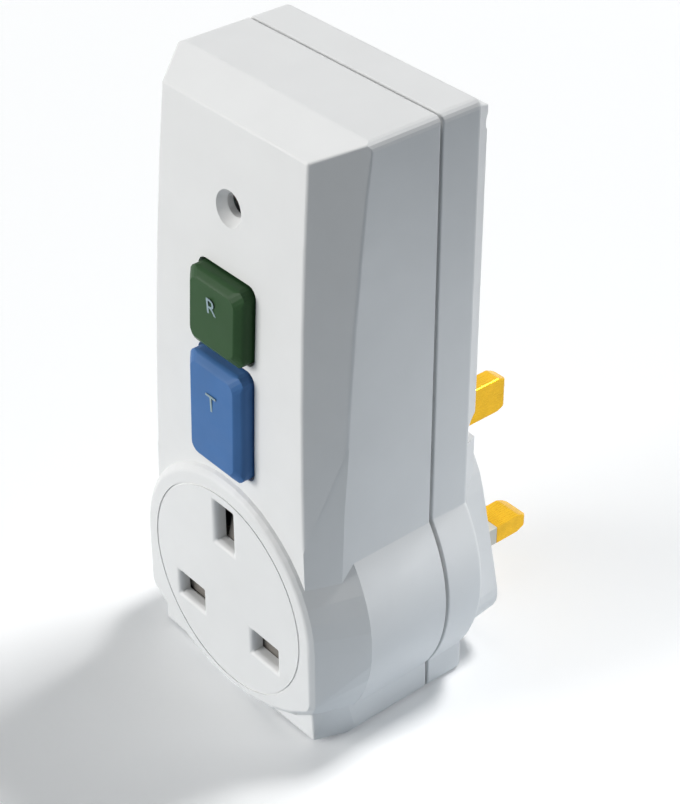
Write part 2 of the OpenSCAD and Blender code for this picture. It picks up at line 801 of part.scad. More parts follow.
module front_housing() color("whitesmoke") difference() {
  union() {
    difference() {
      front_solid(0, plate_y);
      front_solid(wall, plate_in_y);
      box(-2 * lobe_r, 2 * lobe_r, front_edge_y, front_edge_y + 2 * cut, -2 * foot_drop, 2 * body_top);
    }
    along_y(front_edge_y - wall, rear_edge_y + lip_h) difference() {
      case_outline(wall - lip_t);
      case_outline(wall);
      for (p = case_screw_xz) translate(p) circle(screw_boss_r + slide_gap);
    }
    along_y(face(reset_z1 + pad_margin) + wall / 2, pad_y) polygon(rounded(-win_w / 2 - pad_margin,
      test_z0 - pad_margin, win_w / 2 + pad_margin, reset_z1 + pad_margin, win_r));
    rod_y(0, ind_z, lens_y - wall, lens_y + lens_t, lens_r + collar_wall);
    rod_y(0, flag_pivot_z, face(flag_pivot_z) + wall / 2, flag_y - fit, flag_boss_r);
    rod_y(0, flag_pivot_z, face(flag_pivot_z) + wall / 2, flag_back_y + flag_pin_over, flag_pin_r);
    front_posts();
    spring_pads();
  }
  window(test_z0, test_z1);
  window(reset_z0, reset_z1);
  rod_y(0, ind_z, plate_y, lens_y + cut, ind_r);
  translate([0, face(ind_z) + ind_cone_d, ind_z]) rotate([90, 0, 0])
    cylinder(h = 2 * ind_cone_d, r1 = ind_r, r2 = 2 * ind_rim_r - ind_r);
  rod_y(0, ind_z, lens_y, lens_y + lens_t + cut, lens_r + fit);
  slot(pin_x, 0, slot_w, slot_h);
  slot(-pin_x, 0, slot_w, slot_h);
  slot(0, earth_rise, earth_slot_w, earth_slot_h);
  along_y(plate_y - cut, plate_y + ring_d) translate([0, lobe_z]) difference() {
    circle(ring_r + ring_w / 2, $fn = 96);
    circle(ring_r - ring_w / 2, $fn = 96);
  }
  for (p = case_screw_xz)
    rod_y(p[0], p[1], seat_y - screw_l - cut, parting_y + cut, screw_r + fit / 2);
  for (side = [-1, 1])
    rod_y(side * ear_x, lobe_z, ear_y - small_screw_l, ear_y + cut, small_screw_r + fit / 2);
}

// Body of the rear shell with its rear edges rounded
module rear_solid() {
  round_steps = 4;
  lobe_steps = 5;
  hull() {
    along_y(rear_edge_y, rim_y) polygon(body_points(0));
    for (k = [1:round_steps])
      along_y(rear_edge_y, back_y - back_r * (1 - sin(90 * k / round_steps)))
        polygon(body_points(back_r * (1 - cos(90 * k / round_steps))));
  }
  intersection() {
    translate([0, back_y, lobe_z]) rotate([90, 0, 0]) rotate_extrude($fn = 96) polygon(concat([[0, 0]],
      arc(lobe_r - lobe_back_r, lobe_back_r, lobe_back_r, -90, 0, lobe_steps),
      [[lobe_r, back_y - rear_edge_y], [0, back_y - rear_edge_y]]));
    hull() {
      box(-lobe_r, lobe_r, rear_edge_y, back_y - lobe_back_r, -foot_drop, lobe_z + lobe_r);
      box(-lobe_r, lobe_r, rear_edge_y, back_y, lobe_back_r - foot_drop, lobe_z + lobe_r);
    }
  }
}

// Tapered plug boss
module boss_solid(grow, end_y) hull() {
  along_y(rear_in_y, rear_in_y + wall / 2) polygon(boss_points(boss_draft + grow));
  along_y(rear_in_y, end_y) polygon(boss_points(grow));
}

// Raised panel on the back of the body, drawn in with the same slope at every inset
module back_panel(inset, end_y) hull() {
  along_y(rear_in_y - wall, rim_y) polygon(panel_points(inset + panel_step));
  along_y(rear_in_y - wall, end_y) polygon(panel_points(inset + panel_step
    + (panel_inset - panel_step) * (end_y - rim_y) / (panel_y - rim_y)));
}

module rear_bosses() {
  for (p = case_screw_xz)
    rod_y(p[0], p[1], parting_y, p[1] < 0 ? -boss_t / 2 : panel_y - wall / 2, screw_boss_r);
  for (x = [-1, 1] * (frame_in - pad_inset), z = [pcb_foot + pad_rim, pcb_top - pad_rim])
    rod_y(x, z, pcb_back_y, panel_in_y + wall / 2, pad_r);
  for (side = [-1, 1]) {
    rod_y(side * frame_screw_x, frame_screw_z, pcb_back_y, panel_in_y + wall / 2, small_boss_r);
    rod_y(side * clamp_screw_x, clamp_screw_z, shoulder_y, -boss_t / 2, small_boss_r);
  }
}

module rear_housing() color("whitesmoke") difference() {
  union() {
    difference() {
      union() {
        rear_solid();
        boss_solid(0, 0);
        back_panel(0, panel_y);
      }
      difference() {
        union() {
          along_y(parting_y - cut, rear_in_y) case_outline(wall);
          boss_solid(-wall, -boss_t);
          back_panel(wall, panel_in_y);
          along_y(parting_y - cut, rear_edge_y + lip_h + slide_gap) case_outline(wall - lip_t - fit);
        }
        rear_bosses();
      }
    }
    for (p = case_screw_xz)
      rod_y(p[0], p[1], parting_y, rear_edge_y + lip_h, screw_boss_r - slide_gap);
  }
  for (p = case_screw_xz) {
    rod_y(p[0], p[1], parting_y - cut, cut, screw_r + fit);
    rod_y(p[0], p[1], seat_y, cut, screw_head_r + slide_gap);
  }
  for (side = [-1, 1]) {
    box(side * pin_x - pin_w / 2 - fit / 2, side * pin_x + pin_w / 2 + fit / 2, shoulder_y, cut,
      -pin_t / 2 - fit / 2, pin_t / 2 + fit / 2);
    rod_y(side * frame_screw_x, frame_screw_z, pcb_back_y - cut, frame_y + small_screw_l + hole_spare,
      small_screw_r + fit / 2);
    rod_y(side * clamp_screw_x, clamp_screw_z, shoulder_y - cut, clamp_y + small_screw_l + hole_spare,
      small_screw_r + fit / 2);
    box(side * (strip_x + strip_t / 2) - strip_t / 2 - slide_gap,
      side * (strip_x + strip_t / 2) + strip_t / 2 + slide_gap, frame_y - strip_w - slide_gap,
      frame_y + slide_gap, case_screw_xz[2][1] - screw_boss_r - cut, frame_floor_z);
  }
  box(-earth_w / 2 - fit / 2, earth_w / 2 + fit / 2, shoulder_y, cut,
    earth_rise - earth_h / 2 - fit / 2, earth_rise + earth_h / 2 + fit / 2);
}

// Screw along Y with a cross recess; toward is 1 with its head at the wall side, -1 at the front side
module screw(x, z, seat, toward, head_r, head_h, r, l) translate([x, seat, z])
  rotate([-90 * toward, 0, 0]) difference() {
    union() {
      cylinder(h = head_h, r = head_r);
      translate([0, 0, -l]) cylinder(h = l, r = r);
    }
    for (turn = [0, 90])
      rotate(turn) translate([-head_r * recess_l, -head_r * recess_w, head_h * recess_d])
        cube([2 * head_r * recess_l, 2 * head_r * recess_w, head_h]);
  }

module case_screws() color("silver") for (p = case_screw_xz)
  screw(p[0], p[1], seat_y, 1, screw_head_r, screw_head_h, screw_r, screw_l);

module small_screw(x, z, seat, toward)
  screw(x, z, seat, toward, small_head_r, small_head_h, small_screw_r, small_screw_l);

module chassis_screws() color("silver") for (side = [-1, 1]) {
  small_screw(side * ear_x, lobe_z, clip_back_y, 1);
  small_screw(side * frame_screw_x, frame_screw_z, frame_y, -1);
  small_screw(side * clamp_screw_x, clamp_screw_z, clamp_y, -1);
}

// Bar along Y with bevelled edges at its tip
module bevelled_bar(x, z, w, h, y0, y1) translate([x, 0, z]) intersection() {
  translate([0, 0, -h]) linear_extrude(2 * h) polygon([[-w / 2, y0], [w / 2, y0],
    [w / 2, y1 - pin_bevel], [w / 2 - pin_bevel, y1], [pin_bevel - w / 2, y1], [-w / 2, y1 - pin_bevel]]);
  along_x(-w, w) polygon([[y0, -h / 2], [y1 - pin_taper, -h / 2], [y1, pin_thin - h / 2],
    [y1, h / 2 - pin_thin], [y1 - pin_taper, h / 2], [y0, h / 2]]);
}

module shoulder(x, z, w, h) box(x - w / 2 - shoulder_lip, x + w / 2 + shoulder_lip, shoulder_y, -boss_t,
  z - h / 2 - shoulder_lip, z + h / 2 + shoulder_lip);

module live_pin(x) {
  bevelled_bar(x, 0, pin_w, pin_t, sleeve_l, pin_l);
  box(x - pin_w / 2 + sleeve_t, x + pin_w / 2 - sleeve_t, -boss_t - skin, sleeve_l + skin,
    sleeve_t - pin_t / 2, pin_t / 2 - sleeve_t);
  shoulder(x, 0, pin_w, pin_t);
  rod_y(x, 0, stub_end_y, shoulder_y + skin, stub_r);
}

module line_pin() color("goldenrod") live_pin(pin_x);

module neutral_pin() color("goldenrod") live_pin(-pin_x);

module earth_pin() color("goldenrod") {
  bevelled_bar(0, earth_rise, earth_w, earth_h, -boss_t - skin, earth_l);
  shoulder(0, earth_rise, earth_w, earth_h);
  rod_y(0, earth_rise, stub_end_y, shoulder_y + skin, stub_r);
}

module sleeve(x) difference() {
  box(x - pin_w / 2, x + pin_w / 2, -boss_t, sleeve_l, -pin_t / 2, pin_t / 2);
  box(x - pin_w / 2 + sleeve_t, x + pin_w / 2 - sleeve_t, -boss_t - cut, sleeve_l + cut,
    sleeve_t - pin_t / 2, pin_t / 2 - sleeve_t);
}

module line_pin_sleeve() color("linen") sleeve(pin_x);

module neutral_pin_sleeve() color("linen") sleeve(-pin_x);

// Plate that traps the pin shoulders inside the boss
module pin_clamp() color("dimgray") along_y(clamp_y, shoulder_y) difference() {
  polygon([[-clamp_hw, -clamp_foot], [clamp_hw, -clamp_foot], [clamp_hw, clamp_side_z],
    [clamp_top_hw, clamp_top_z], [-clamp_top_hw, clamp_top_z], [-clamp_hw, clamp_side_z]]);
  for (p = [[pin_x, 0], [-pin_x, 0], [0, earth_rise]]) translate(p) circle(stub_r + fit);
  for (side = [-1, 1]) translate([side * clamp_screw_x, clamp_screw_z]) circle(small_screw_r + fit);
}

// Block that holds the socket contacts and guides the shutter
module socket_contact_block() color("dimgray") difference() {
  union() {
    along_y(block_y, clip_back_y) polygon(rounded(-block_hw, -block_foot, block_hw, block_top, block_r));
    for (side = [-1, 1]) {
      along_y(plate_in_y, block_y + skin)
        translate([side * (rail_x + block_hw) / 2, (rail_top - block_foot) / 2])
          square([block_hw - rail_x, rail_top + block_foot], center = true);
      along_y(ear_y, clip_back_y) {
        translate([side * ear_x, lobe_z]) circle(ear_r);
        translate([side * (ear_x + strip_x) / 2, lobe_z])
          square([ear_x - strip_x, 2 * ear_r], center = true);
      }
    }
  }
  for (side = [-1, 1]) {
    box(side * pin_x - clip_w / 2 - pocket_gap, side * pin_x + clip_w / 2 + pocket_gap, block_y - cut,
      clip_back_y + cut, -clip_hh - pocket_gap, clip_hh + pocket_gap);
    box(side * strip_x - pocket_gap - strip_t, side * strip_x + strip_t + pocket_gap,
      clip_back_y - strip_t - pocket_gap, clip_back_y + cut,
      -strip_w / 2 - pocket_gap, strip_w / 2 + pocket_gap);
    rod_y(side * ear_x, lobe_z, ear_y - cut, clip_back_y + cut, small_screw_r + fit);
    box(side * shutter_spring_x - shutter_spring_r - spring_room,
      side * shutter_spring_x + shutter_spring_r + spring_room, block_y - cut, block_y + spring_relief,
      -block_foot - cut, 0);
  }
  box(-earth_clip_hw - pocket_gap, earth_clip_hw + pocket_gap, block_y - cut, clip_back_y + cut,
    earth_rise - earth_clip_h / 2 - pocket_gap, earth_rise + earth_clip_h / 2 + pocket_gap);
}

// Spring clip seen from the side, open to the front, for a blade of the given thickness
module clip_profile(blade) {
  inside = (blade - clip_grip) / 2;
  mouth = inside + clip_flare;
  bend_y = clip_y + clip_lead;
  web_y = clip_back_y - strip_t;
  polygon([[clip_y, mouth], [bend_y, inside], [web_y, inside], [web_y, -inside], [bend_y, -inside],
    [clip_y, -mouth], [clip_y, -mouth - strip_t], [bend_y, -inside - strip_t],
    [clip_back_y, -inside - strip_t], [clip_back_y, inside + strip_t], [bend_y, inside + strip_t],
    [clip_y, mouth + strip_t]]);
}

// Right-hand load contact: clip, side strip up to the trip contacts, and its fixed tip
module load_contact() {
  along_x(pin_x - clip_w / 2, strip_x) clip_profile(pin_t);
  box(strip_x - skin, strip_x + strip_t, clip_back_y - strip_t, clip_back_y, -strip_w / 2, strip_w / 2);
  along_x(strip_x, strip_x + strip_t) polygon([[clip_back_y - strip_t, -strip_w / 2],
    [frame_y, -strip_w / 2], [frame_y, contact_z + contact_hh],
    [frame_y - strip_w, contact_z + contact_hh], [frame_y - strip_w, strip_w / 2],
    [clip_back_y - strip_t, strip_w / 2]]);
  box(load_x - tip_r - tip_rim, strip_x + skin, strip_y, frame_y, contact_z - contact_hh,
    contact_z + contact_hh);
  rod_y(load_x, contact_z, tip_y, strip_y + skin, tip_r);
}

module line_socket_contact() color("gold") load_contact();

module neutral_socket_contact() color("gold") mirror([1, 0, 0]) load_contact();

module earth_socket_contact() color("gold") {
  translate([0, 0, earth_rise]) rotate([0, 90, 0]) along_x(-earth_clip_h / 2, earth_clip_h / 2)
    clip_profile(earth_w);
  box(-strip_t / 2, strip_t / 2, clip_back_y - skin, stub_end_y, earth_rise - earth_strap_hh,
    earth_rise + earth_strap_hh);
}

// Safety shutter: two blinds over the live slots and a ramp that the earth pin pushes down
module socket_shutter() color("ivory") {
  along_y(shutter_y, shutter_back_y) difference() {
    union() {
      polygon([[shutter_chamfer - shutter_hw, -shutter_foot], [shutter_hw - shutter_chamfer, -shutter_foot],
        [shutter_hw, shutter_chamfer - shutter_foot], [shutter_hw, shutter_shoulder_z],
        [-shutter_hw, shutter_shoulder_z], [-shutter_hw, shutter_chamfer - shutter_foot]]);
      translate([-shutter_neck_hw, 0]) square([2 * shutter_neck_hw, ramp_top - ramp_rise]);
    }
    for (side = [-1, 1])
      translate([side * pin_x - slot_w / 2 - shutter_win_play, shutter_win_z])
        square([slot_w + 2 * shutter_win_play, shutter_win_h]);
    translate([-post_r - 2 * slide_gap, -shutter_foot - cut])
      square([2 * post_r + 4 * slide_gap, cut + shutter_foot + case_screw_xz[4][1] + post_r
        + shutter_travel + slide_gap]);
  }
  along_x(-ramp_hw, ramp_hw) polygon([[shutter_y, ramp_top - ramp_rise - skin],
    [shutter_back_y, ramp_top - ramp_rise - skin], [shutter_back_y, ramp_top],
    [shutter_back_y - ramp_land, ramp_top], [shutter_y, ramp_top - ramp_rise]]);
}

module shutter_springs() color("silver") for (side = [-1, 1])
  translate([side * shutter_spring_x, shutter_spring_y, spring_pad_z + spring_seat])
    spring(shutter_spring_r, -shutter_foot - spring_pad_z - 2 * spring_seat, shutter_curls);

module circuit_board() color("seagreen") along_y(pcb_y, pcb_back_y) difference() {
  polygon(rounded(-pcb_hw, pcb_foot, pcb_hw, pcb_top, 1));
  for (p = case_screw_xz) translate(p) circle(screw_boss_r + 2 * slide_gap);
  for (side = [-1, 1]) translate([side * frame_screw_x, frame_screw_z]) circle(small_screw_r + fit);
}

// Frame that carries the carrier, the latch, the solenoid and the transformer
module mechanism_frame() color("slategray") difference() {
  union() {
    box(-frame_hw, frame_hw, frame_y, pcb_y, frame_floor_z, shelf_top);
    for (side = [-1, 1])
      box(side * (frame_in + frame_t / 2) - frame_t / 2, side * (frame_in + frame_t / 2) + frame_t / 2,
        frame_front_y, pcb_y, frame_floor_z, shelf_top);
    box(-frame_hw, frame_hw, frame_front_y, pcb_y, frame_floor_z, frame_floor_z + frame_t);
    box(-frame_hw, frame_hw, shelf_y, pcb_y, shelf_z, shelf_top);
    box(-frame_in - skin, -leaf_post_x, leaf_back_y, leaf_back_y + leaf_pillar, frame_floor_z,
      test_zc + leaf_h / 2);
  }
  for (side = [-1, 1]) {
    box(side * (frame_in + frame_t / 2) - frame_t, side * (frame_in + frame_t / 2) + frame_t,
      carrier_y - slide_gap, carrier_y + lug_l + reset_travel + slide_gap,
      reset_zc - lug_h / 2 - slide_gap, reset_zc + lug_h / 2 + slide_gap);
    box(side * (strip_x + strip_t / 2) - strip_t / 2 - slide_gap,
      side * (strip_x + strip_t / 2) + strip_t / 2 + slide_gap, frame_y - strip_w - slide_gap, frame_y,
      frame_floor_z - cut, frame_floor_z + frame_t + cut);
    rod_y(side * frame_screw_x, frame_screw_z, frame_y - cut, pcb_y + cut, small_screw_r + fit);
  }
  translate([-frame_hw - cut, latch_y, latch_z]) rotate([0, 90, 0])
    cylinder(h = 2 * frame_hw + 2 * cut, r = latch_pin_r + fit / 2);
  translate([0, plunger_y, shelf_z - cut]) cylinder(h = frame_t + 2 * cut, r = bore_r + slide_gap);
  translate([0, ct_y, frame_floor_z - cut]) cylinder(h = frame_t + 2 * cut, r = bush_r + fit / 2);
  translate([test_post_x, leaf_back_y + test_travel + contact_gap + test_post_r, frame_floor_z - cut])
    cylinder(h = frame_t + 2 * cut, r = test_post_r + fit / 2);
}

// Right-hand supply contact: tab over the wire's end, strip up the frame, fixed tip
module supply_contact() {
  box(wire_x - wire_r, supply_x + supply_hw, tab_y, frame_y, tab_z, tab_z + strip_t);
  box(supply_x - supply_hw, supply_x + supply_hw, strip_y, frame_y, tab_z, contact_z + contact_hh);
  rod_y(supply_x, contact_z, tip_y, strip_y + skin, tip_r);
}

module line_supply_contact() color("gold") supply_contact();

module neutral_supply_contact() color("gold") mirror([1, 0, 0]) supply_contact();

module wire() tube(smooth_path(wire_points, wire_steps), wire_r, [1, 0, 0], wire_sides);

module line_wire() color("saddlebrown") wire();

module neutral_wire() color("royalblue") mirror([1, 0, 0]) wire();

module ring_solid(r0, r1, z0, z1, turn) translate([0, ct_y, z0])
  rotate_extrude(angle = turn) translate([r0, 0]) square([r1 - r0, z1 - z0]);

module transformer_bush() color("ivory") difference() {
  union() {
    translate([0, ct_y, bush_foot]) cylinder(h = frame_floor_z + frame_t - bush_foot, r = bush_r);
    translate([0, ct_y, bush_foot]) cylinder(h = bush_flange_t, r = bush_flange_r);
  }
  translate([0, ct_y, bush_foot - cut])
    cylinder(h = frame_floor_z + frame_t - bush_foot + 2 * cut, r = bush_in_r);
  translate([0, ct_y, bush_foot - skin])
    cylinder(h = bush_lead, r1 = bush_in_r + bush_lead, r2 = bush_in_r);
}

module transformer_core() color("gray")
  ring_solid(ct_bore_r + ct_turns_t, ct_r - ct_turns_t, ct_foot + ct_turns_t, ct_top - ct_turns_t, 360);

module transformer_windings() color("peru") for (side = [0, 180])
  translate([0, ct_y, 0]) rotate(side + 15) translate([0, -ct_y, 0]) difference() {
    ring_solid(ct_bore_r, ct_r, ct_foot, ct_top, 150);
    ring_solid(ct_bore_r + ct_turns_t - skin, ct_r - ct_turns_t + skin, ct_foot + ct_turns_t - skin,
      ct_top - ct_turns_t + skin, 360);
  }

module plunger_axis(z) translate([0, plunger_y, z]) children();

module solenoid_yoke() color("silver") difference() {
  along_x(-yoke_hw, yoke_hw) polygon([[shelf_y, shelf_top], [yoke_back_y + yoke_t, shelf_top],
    [yoke_back_y + yoke_t, coil_top + yoke_t], [shelf_y, coil_top + yoke_t], [shelf_y, coil_top],
    [yoke_back_y, coil_top], [yoke_back_y, coil_foot], [shelf_y, coil_foot]]);
  plunger_axis(shelf_top - cut) cylinder(h = yoke_t + 2 * cut, r = bore_r);
  plunger_axis(coil_top - cut) cylinder(h = yoke_t + 2 * cut, r = stop_pin_r + fit / 2);
}

module solenoid_bobbin() color("ivory") difference() {
  union() {
    plunger_axis(coil_foot) cylinder(h = coil_top - coil_foot, r = tube_r);
    for (z = [coil_foot, coil_top - bobbin_t]) plunger_axis(z) cylinder(h = bobbin_t, r = bobbin_r);
  }
  plunger_axis(coil_foot - cut) cylinder(h = coil_top - coil_foot + 2 * cut, r = bore_r);
}

module solenoid_winding() color("peru") difference() {
  plunger_axis(coil_foot + bobbin_t + skin)
    cylinder(h = coil_top - coil_foot - 2 * bobbin_t - 2 * skin, r = coil_r);
  plunger_axis(coil_foot) cylinder(h = coil_top - coil_foot, r = tube_r + skin);
}

module solenoid_stop() color("silver") {
  plunger_axis(coil_top - stop_h) cylinder(h = stop_h, r = bore_r - fit);
  plunger_axis(coil_top - skin) cylinder(h = yoke_t + skin, r = stop_pin_r);
}

module trip_plunger() color("silver") {
  plunger_axis(neck_z - knob_h) cylinder(h = knob_h, r = plunger_r);
  plunger_axis(neck_z - skin) cylinder(h = neck_top - neck_z + 2 * skin, r = neck_r);
  plunger_axis(neck_top) cylinder(h = plunger_top - neck_top, r = plunger_r);
}

module plunger_spring() color("silver") plunger_axis(plunger_top + spring_seat)
  spring(plunger_spring_r, plunger_spring_h - 2 * spring_seat, plunger_curls);

// Latch: hub on its pin, a window round the plunger's neck, a hook over the carrier
module latch_lever() color("dimgray") difference() {
  union() {
    translate([-latch_hub_l / 2, latch_y, latch_z]) rotate([0, 90, 0])
      cylinder(h = latch_hub_l, r = latch_hub_r);
    box(-latch_hw, latch_hw, hook_y, latch_y, latch_z - latch_t / 2, latch_z + latch_t / 2);
    box(-latch_hw, latch_hw, hook_y, hook_y + hook_t, carrier_top + slide_gap, latch_z);
  }
  translate([-latch_hub_l, latch_y, latch_z]) rotate([0, 90, 0])
    cylinder(h = 2 * latch_hub_l, r = latch_pin_r + pivot_gap);
  box(-slot_hw, slot_hw, plunger_y - neck_r - neck_play, plunger_y + neck_r + neck_play,
    latch_z - latch_t, latch_z + latch_t);
}

module latch_pivot_pin() color("silver") translate([-frame_hw, latch_y, latch_z]) rotate([0, 90, 0])
  cylinder(h = 2 * frame_hw, r = latch_pin_r);

// Carrier: slides in the frame, holds both bridges, and turns the flag through a slanted cam slot
module contact_carrier() color("ivory") difference() {
  union() {
    box(slide_gap - frame_in, frame_in - slide_gap, carrier_y, carrier_back_y, carrier_foot, carrier_top);
    for (side = [-1, 1])
      box(side * frame_in - lug_reach, side * frame_in + lug_reach, carrier_y, carrier_y + lug_l,
        reset_zc - lug_h / 2, reset_zc + lug_h / 2);
    rod_y(0, reset_zc, carrier_boss_y, carrier_y + skin, reset_stem_r);
    box(cam_hw, cam_hw + cam_arm_w, cam_y, carrier_y + skin, cam_foot - cam_root, carrier_top);
    box(-cam_hw, cam_hw + cam_arm_w, cam_y, cam_back_y, cam_foot, cam_top);
    for (side = [-1, 1])
      rod_y(side * (supply_x + load_x) / 2, contact_z, carrier_back_y - skin, blade_back_y, stud_r);
  }
  translate([0, (flag_y + flag_back_y) / 2 - reset_travel / 2, flag_pivot_z - tail_end - cam_cut])
    rotate(45) translate([-cam_hw * 2, -cam_slot_hw, 0]) cube([cam_hw * 4, 2 * cam_slot_hw, cam_top]);
}

// Right-hand bridge between the supply and load tips
module bridge() {
  middle_x = (supply_x + load_x) / 2;
  difference() {
    box(supply_x - tip_r, load_x + tip_r, carrier_back_y, blade_back_y, contact_z - bridge_hh,
      contact_z + bridge_hh);
    rod_y(middle_x, contact_z, carrier_back_y - cut, blade_back_y + cut, stud_r + fit / 2);
  }
  for (x = [supply_x, load_x])
    rod_y(x, contact_z, blade_back_y - skin, blade_back_y + moving_tip_h, tip_r);
}

module line_bridge_contact() color("gold") bridge();

module neutral_bridge_contact() color("gold") mirror([1, 0, 0]) bridge();

module reset_spring() color("silver") translate([0, frame_y - spring_seat, reset_zc]) rotate([90, 0, 0])
  spring(reset_spring_r, frame_y - carrier_back_y - 2 * spring_seat, reset_curls);

// Button cap that follows the bow of the front face
module cap(z0, z1) {
  zc = (z0 + z1) / 2;
  lean = -atan((zc - bow_z) / bow_r);
  half_w = win_w / 2 - button_gap;
  half_h = (z1 - z0) / 2 - button_gap;
  bevel = button_bevel;
  hull() {
    along_y(flange_y, flange_y + skin)
      polygon(rounded(-half_w, zc - half_h, half_w, zc + half_h, win_r));
    translate([0, face(zc) - button_rise, zc]) rotate([lean, 0, 0]) {
      along_y(button_bevel_d, button_bevel_d + skin)
        polygon(rounded(-half_w, -half_h, half_w, half_h, win_r));
      along_y(0, skin)
        polygon(rounded(bevel - half_w, bevel - half_h, half_w - bevel, half_h - bevel, win_r));
    }
  }
}

module flange(z0, z1) along_y(flange_y, flange_back_y)
  polygon(rounded(-win_w / 2 - flange_lip, z0, win_w / 2 + flange_lip, z1, win_r));

module reset_button() color("darkolivegreen") {
  cap(reset_z0, reset_z1);
  flange(reset_z0 - bar_lip, reset_z1 + flange_lip);
  rod_y(0, reset_zc, flange_back_y - skin, carrier_boss_y - slide_gap, reset_stem_r);
}

module test_button() color("steelblue") {
  cap(test_z0, test_z1);
  flange(test_z0 - flange_lip, test_z1 + bar_lip);
  rod_y(0, test_zc, flange_back_y - skin, leaf_y - slide_gap, test_stem_r);
}

module test_leaf() color("gold")
  box(-frame_in, test_post_x + leaf_over, leaf_y, leaf_back_y, test_zc - leaf_h / 2, test_zc + leaf_h / 2);

module test_contact_post() color("gold")
  translate([test_post_x, leaf_back_y + test_travel + contact_gap + test_post_r, frame_floor_z])
    cylinder(h = test_zc + leaf_h / 2 - frame_floor_z, r = test_post_r);

module indicator_lens() color("lightgray") rod_y(0, ind_z, lens_y, lens_y + lens_t, lens_r);

module flag_turn() translate([0, 0, flag_pivot_z]) rotate([0, -flag_half, 0])
  translate([0, 0, -flag_pivot_z]) children();

// Sector of the flag seen behind the indicator hole, between two angles from upright
module flag_sector(r0, a0, a1) translate([0, flag_pivot_z])
  polygon(concat(arc(0, 0, flag_r, 90 - a1, 90 - a0, 6), arc(0, 0, r0, 90 - a0, 90 - a1, 6)));

module indicator_flag() color("black") flag_turn() difference() {
  along_y(flag_y, flag_back_y) {
    flag_sector(flag_boss_r / 2, -flag_span, flag_span);
    translate([0, flag_pivot_z]) circle(flag_boss_r + flag_rim);
    translate([-tail_hw, flag_pivot_z - tail_end]) square([2 * tail_hw, tail_end]);
  }
  rod_y(0, flag_pivot_z, flag_y - cut, flag_back_y + cut, flag_pin_r + pivot_gap);
}

module flag_marker() color("firebrick") flag_turn() along_y(flag_y - marker_t, flag_y)
  flag_sector(flag_boss_r + marker_inset, -flag_span, 0);

module smoothing_capacitor() color("midnightblue") rod_y(-part_x, cap_z, pcb_y - cap_h, pcb_y, cap_r);

// Disc varistor on two leads, standing on the board
module varistor() color("darkorange") {
  translate([part_x, varistor_y, varistor_z]) cylinder(h = varistor_t, r = varistor_r);
  for (side = [-1, 1])
    rod_y(part_x + side * varistor_r / 3, varistor_z + varistor_t / 2, varistor_y, pcb_y, lead_r);
}

module control_chip() color("black") {
  box(-part_x - chip_hw, chip_hw - part_x, pcb_y - fit - chip_t, pcb_y - fit,
    chip_z - chip_hh, chip_z + chip_hh);
  for (k = [-1.5:1.5])
    box(-part_x - chip_reach, chip_reach - part_x, pcb_y - chip_t / 2, pcb_y,
      chip_z + k * chip_hh / 2 - lead_r / 2, chip_z + k * chip_hh / 2 + lead_r / 2);
}

module test_resistor() color("burlywood") {
  translate([part_x - resistor_hl, resistor_y, resistor_z]) rotate([0, 90, 0])
    cylinder(h = 2 * resistor_hl, r = resistor_r);
  for (side = [-1, 1])
    rod_y(part_x + side * (resistor_hl - 2 * lead_r), resistor_z, resistor_y, pcb_y, lead_r);
}

front_housing();
rear_housing();
case_screws();
chassis_screws();
line_pin();
neutral_pin();
earth_pin();
line_pin_sleeve();
neutral_pin_sleeve();
pin_clamp();
socket_contact_block();
line_socket_contact();
neutral_socket_contact();
earth_socket_contact();
socket_shutter();
shutter_springs();
circuit_board();
mechanism_frame();
line_supply_contact();
neutral_supply_contact();
line_wire();
neutral_wire();
transformer_bush();
transformer_core();
transformer_windings();
solenoid_yoke();
solenoid_bobbin();
solenoid_winding();
solenoid_stop();
trip_plunger();
plunger_spring();
latch_lever();
latch_pivot_pin();
contact_carrier();
line_bridge_contact();
neutral_bridge_contact();
reset_spring();
reset_button();
test_button();
test_leaf();
test_contact_post();
indicator_lens();
indicator_flag();
flag_marker();
smoothing_capacitor();
varistor();
control_chip();
test_resistor();
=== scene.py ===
"""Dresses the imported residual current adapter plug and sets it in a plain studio.

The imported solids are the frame. Shells, buttons, pins and the pieces seen through the openings get
copies with softened edges, screws and springs are grown by Geometry Nodes, and every node that
stays gets its own finish.
"""

import json
import logging
import math
from dataclasses import dataclass, field
from enum import Enum
from typing import Optional, Protocol, Sequence

import bmesh
import bpy
from mathutils import Euler, Matrix, Vector
from mathutils.bvhtree import BVHTree
from mathutils.geometry import intersect_point_line


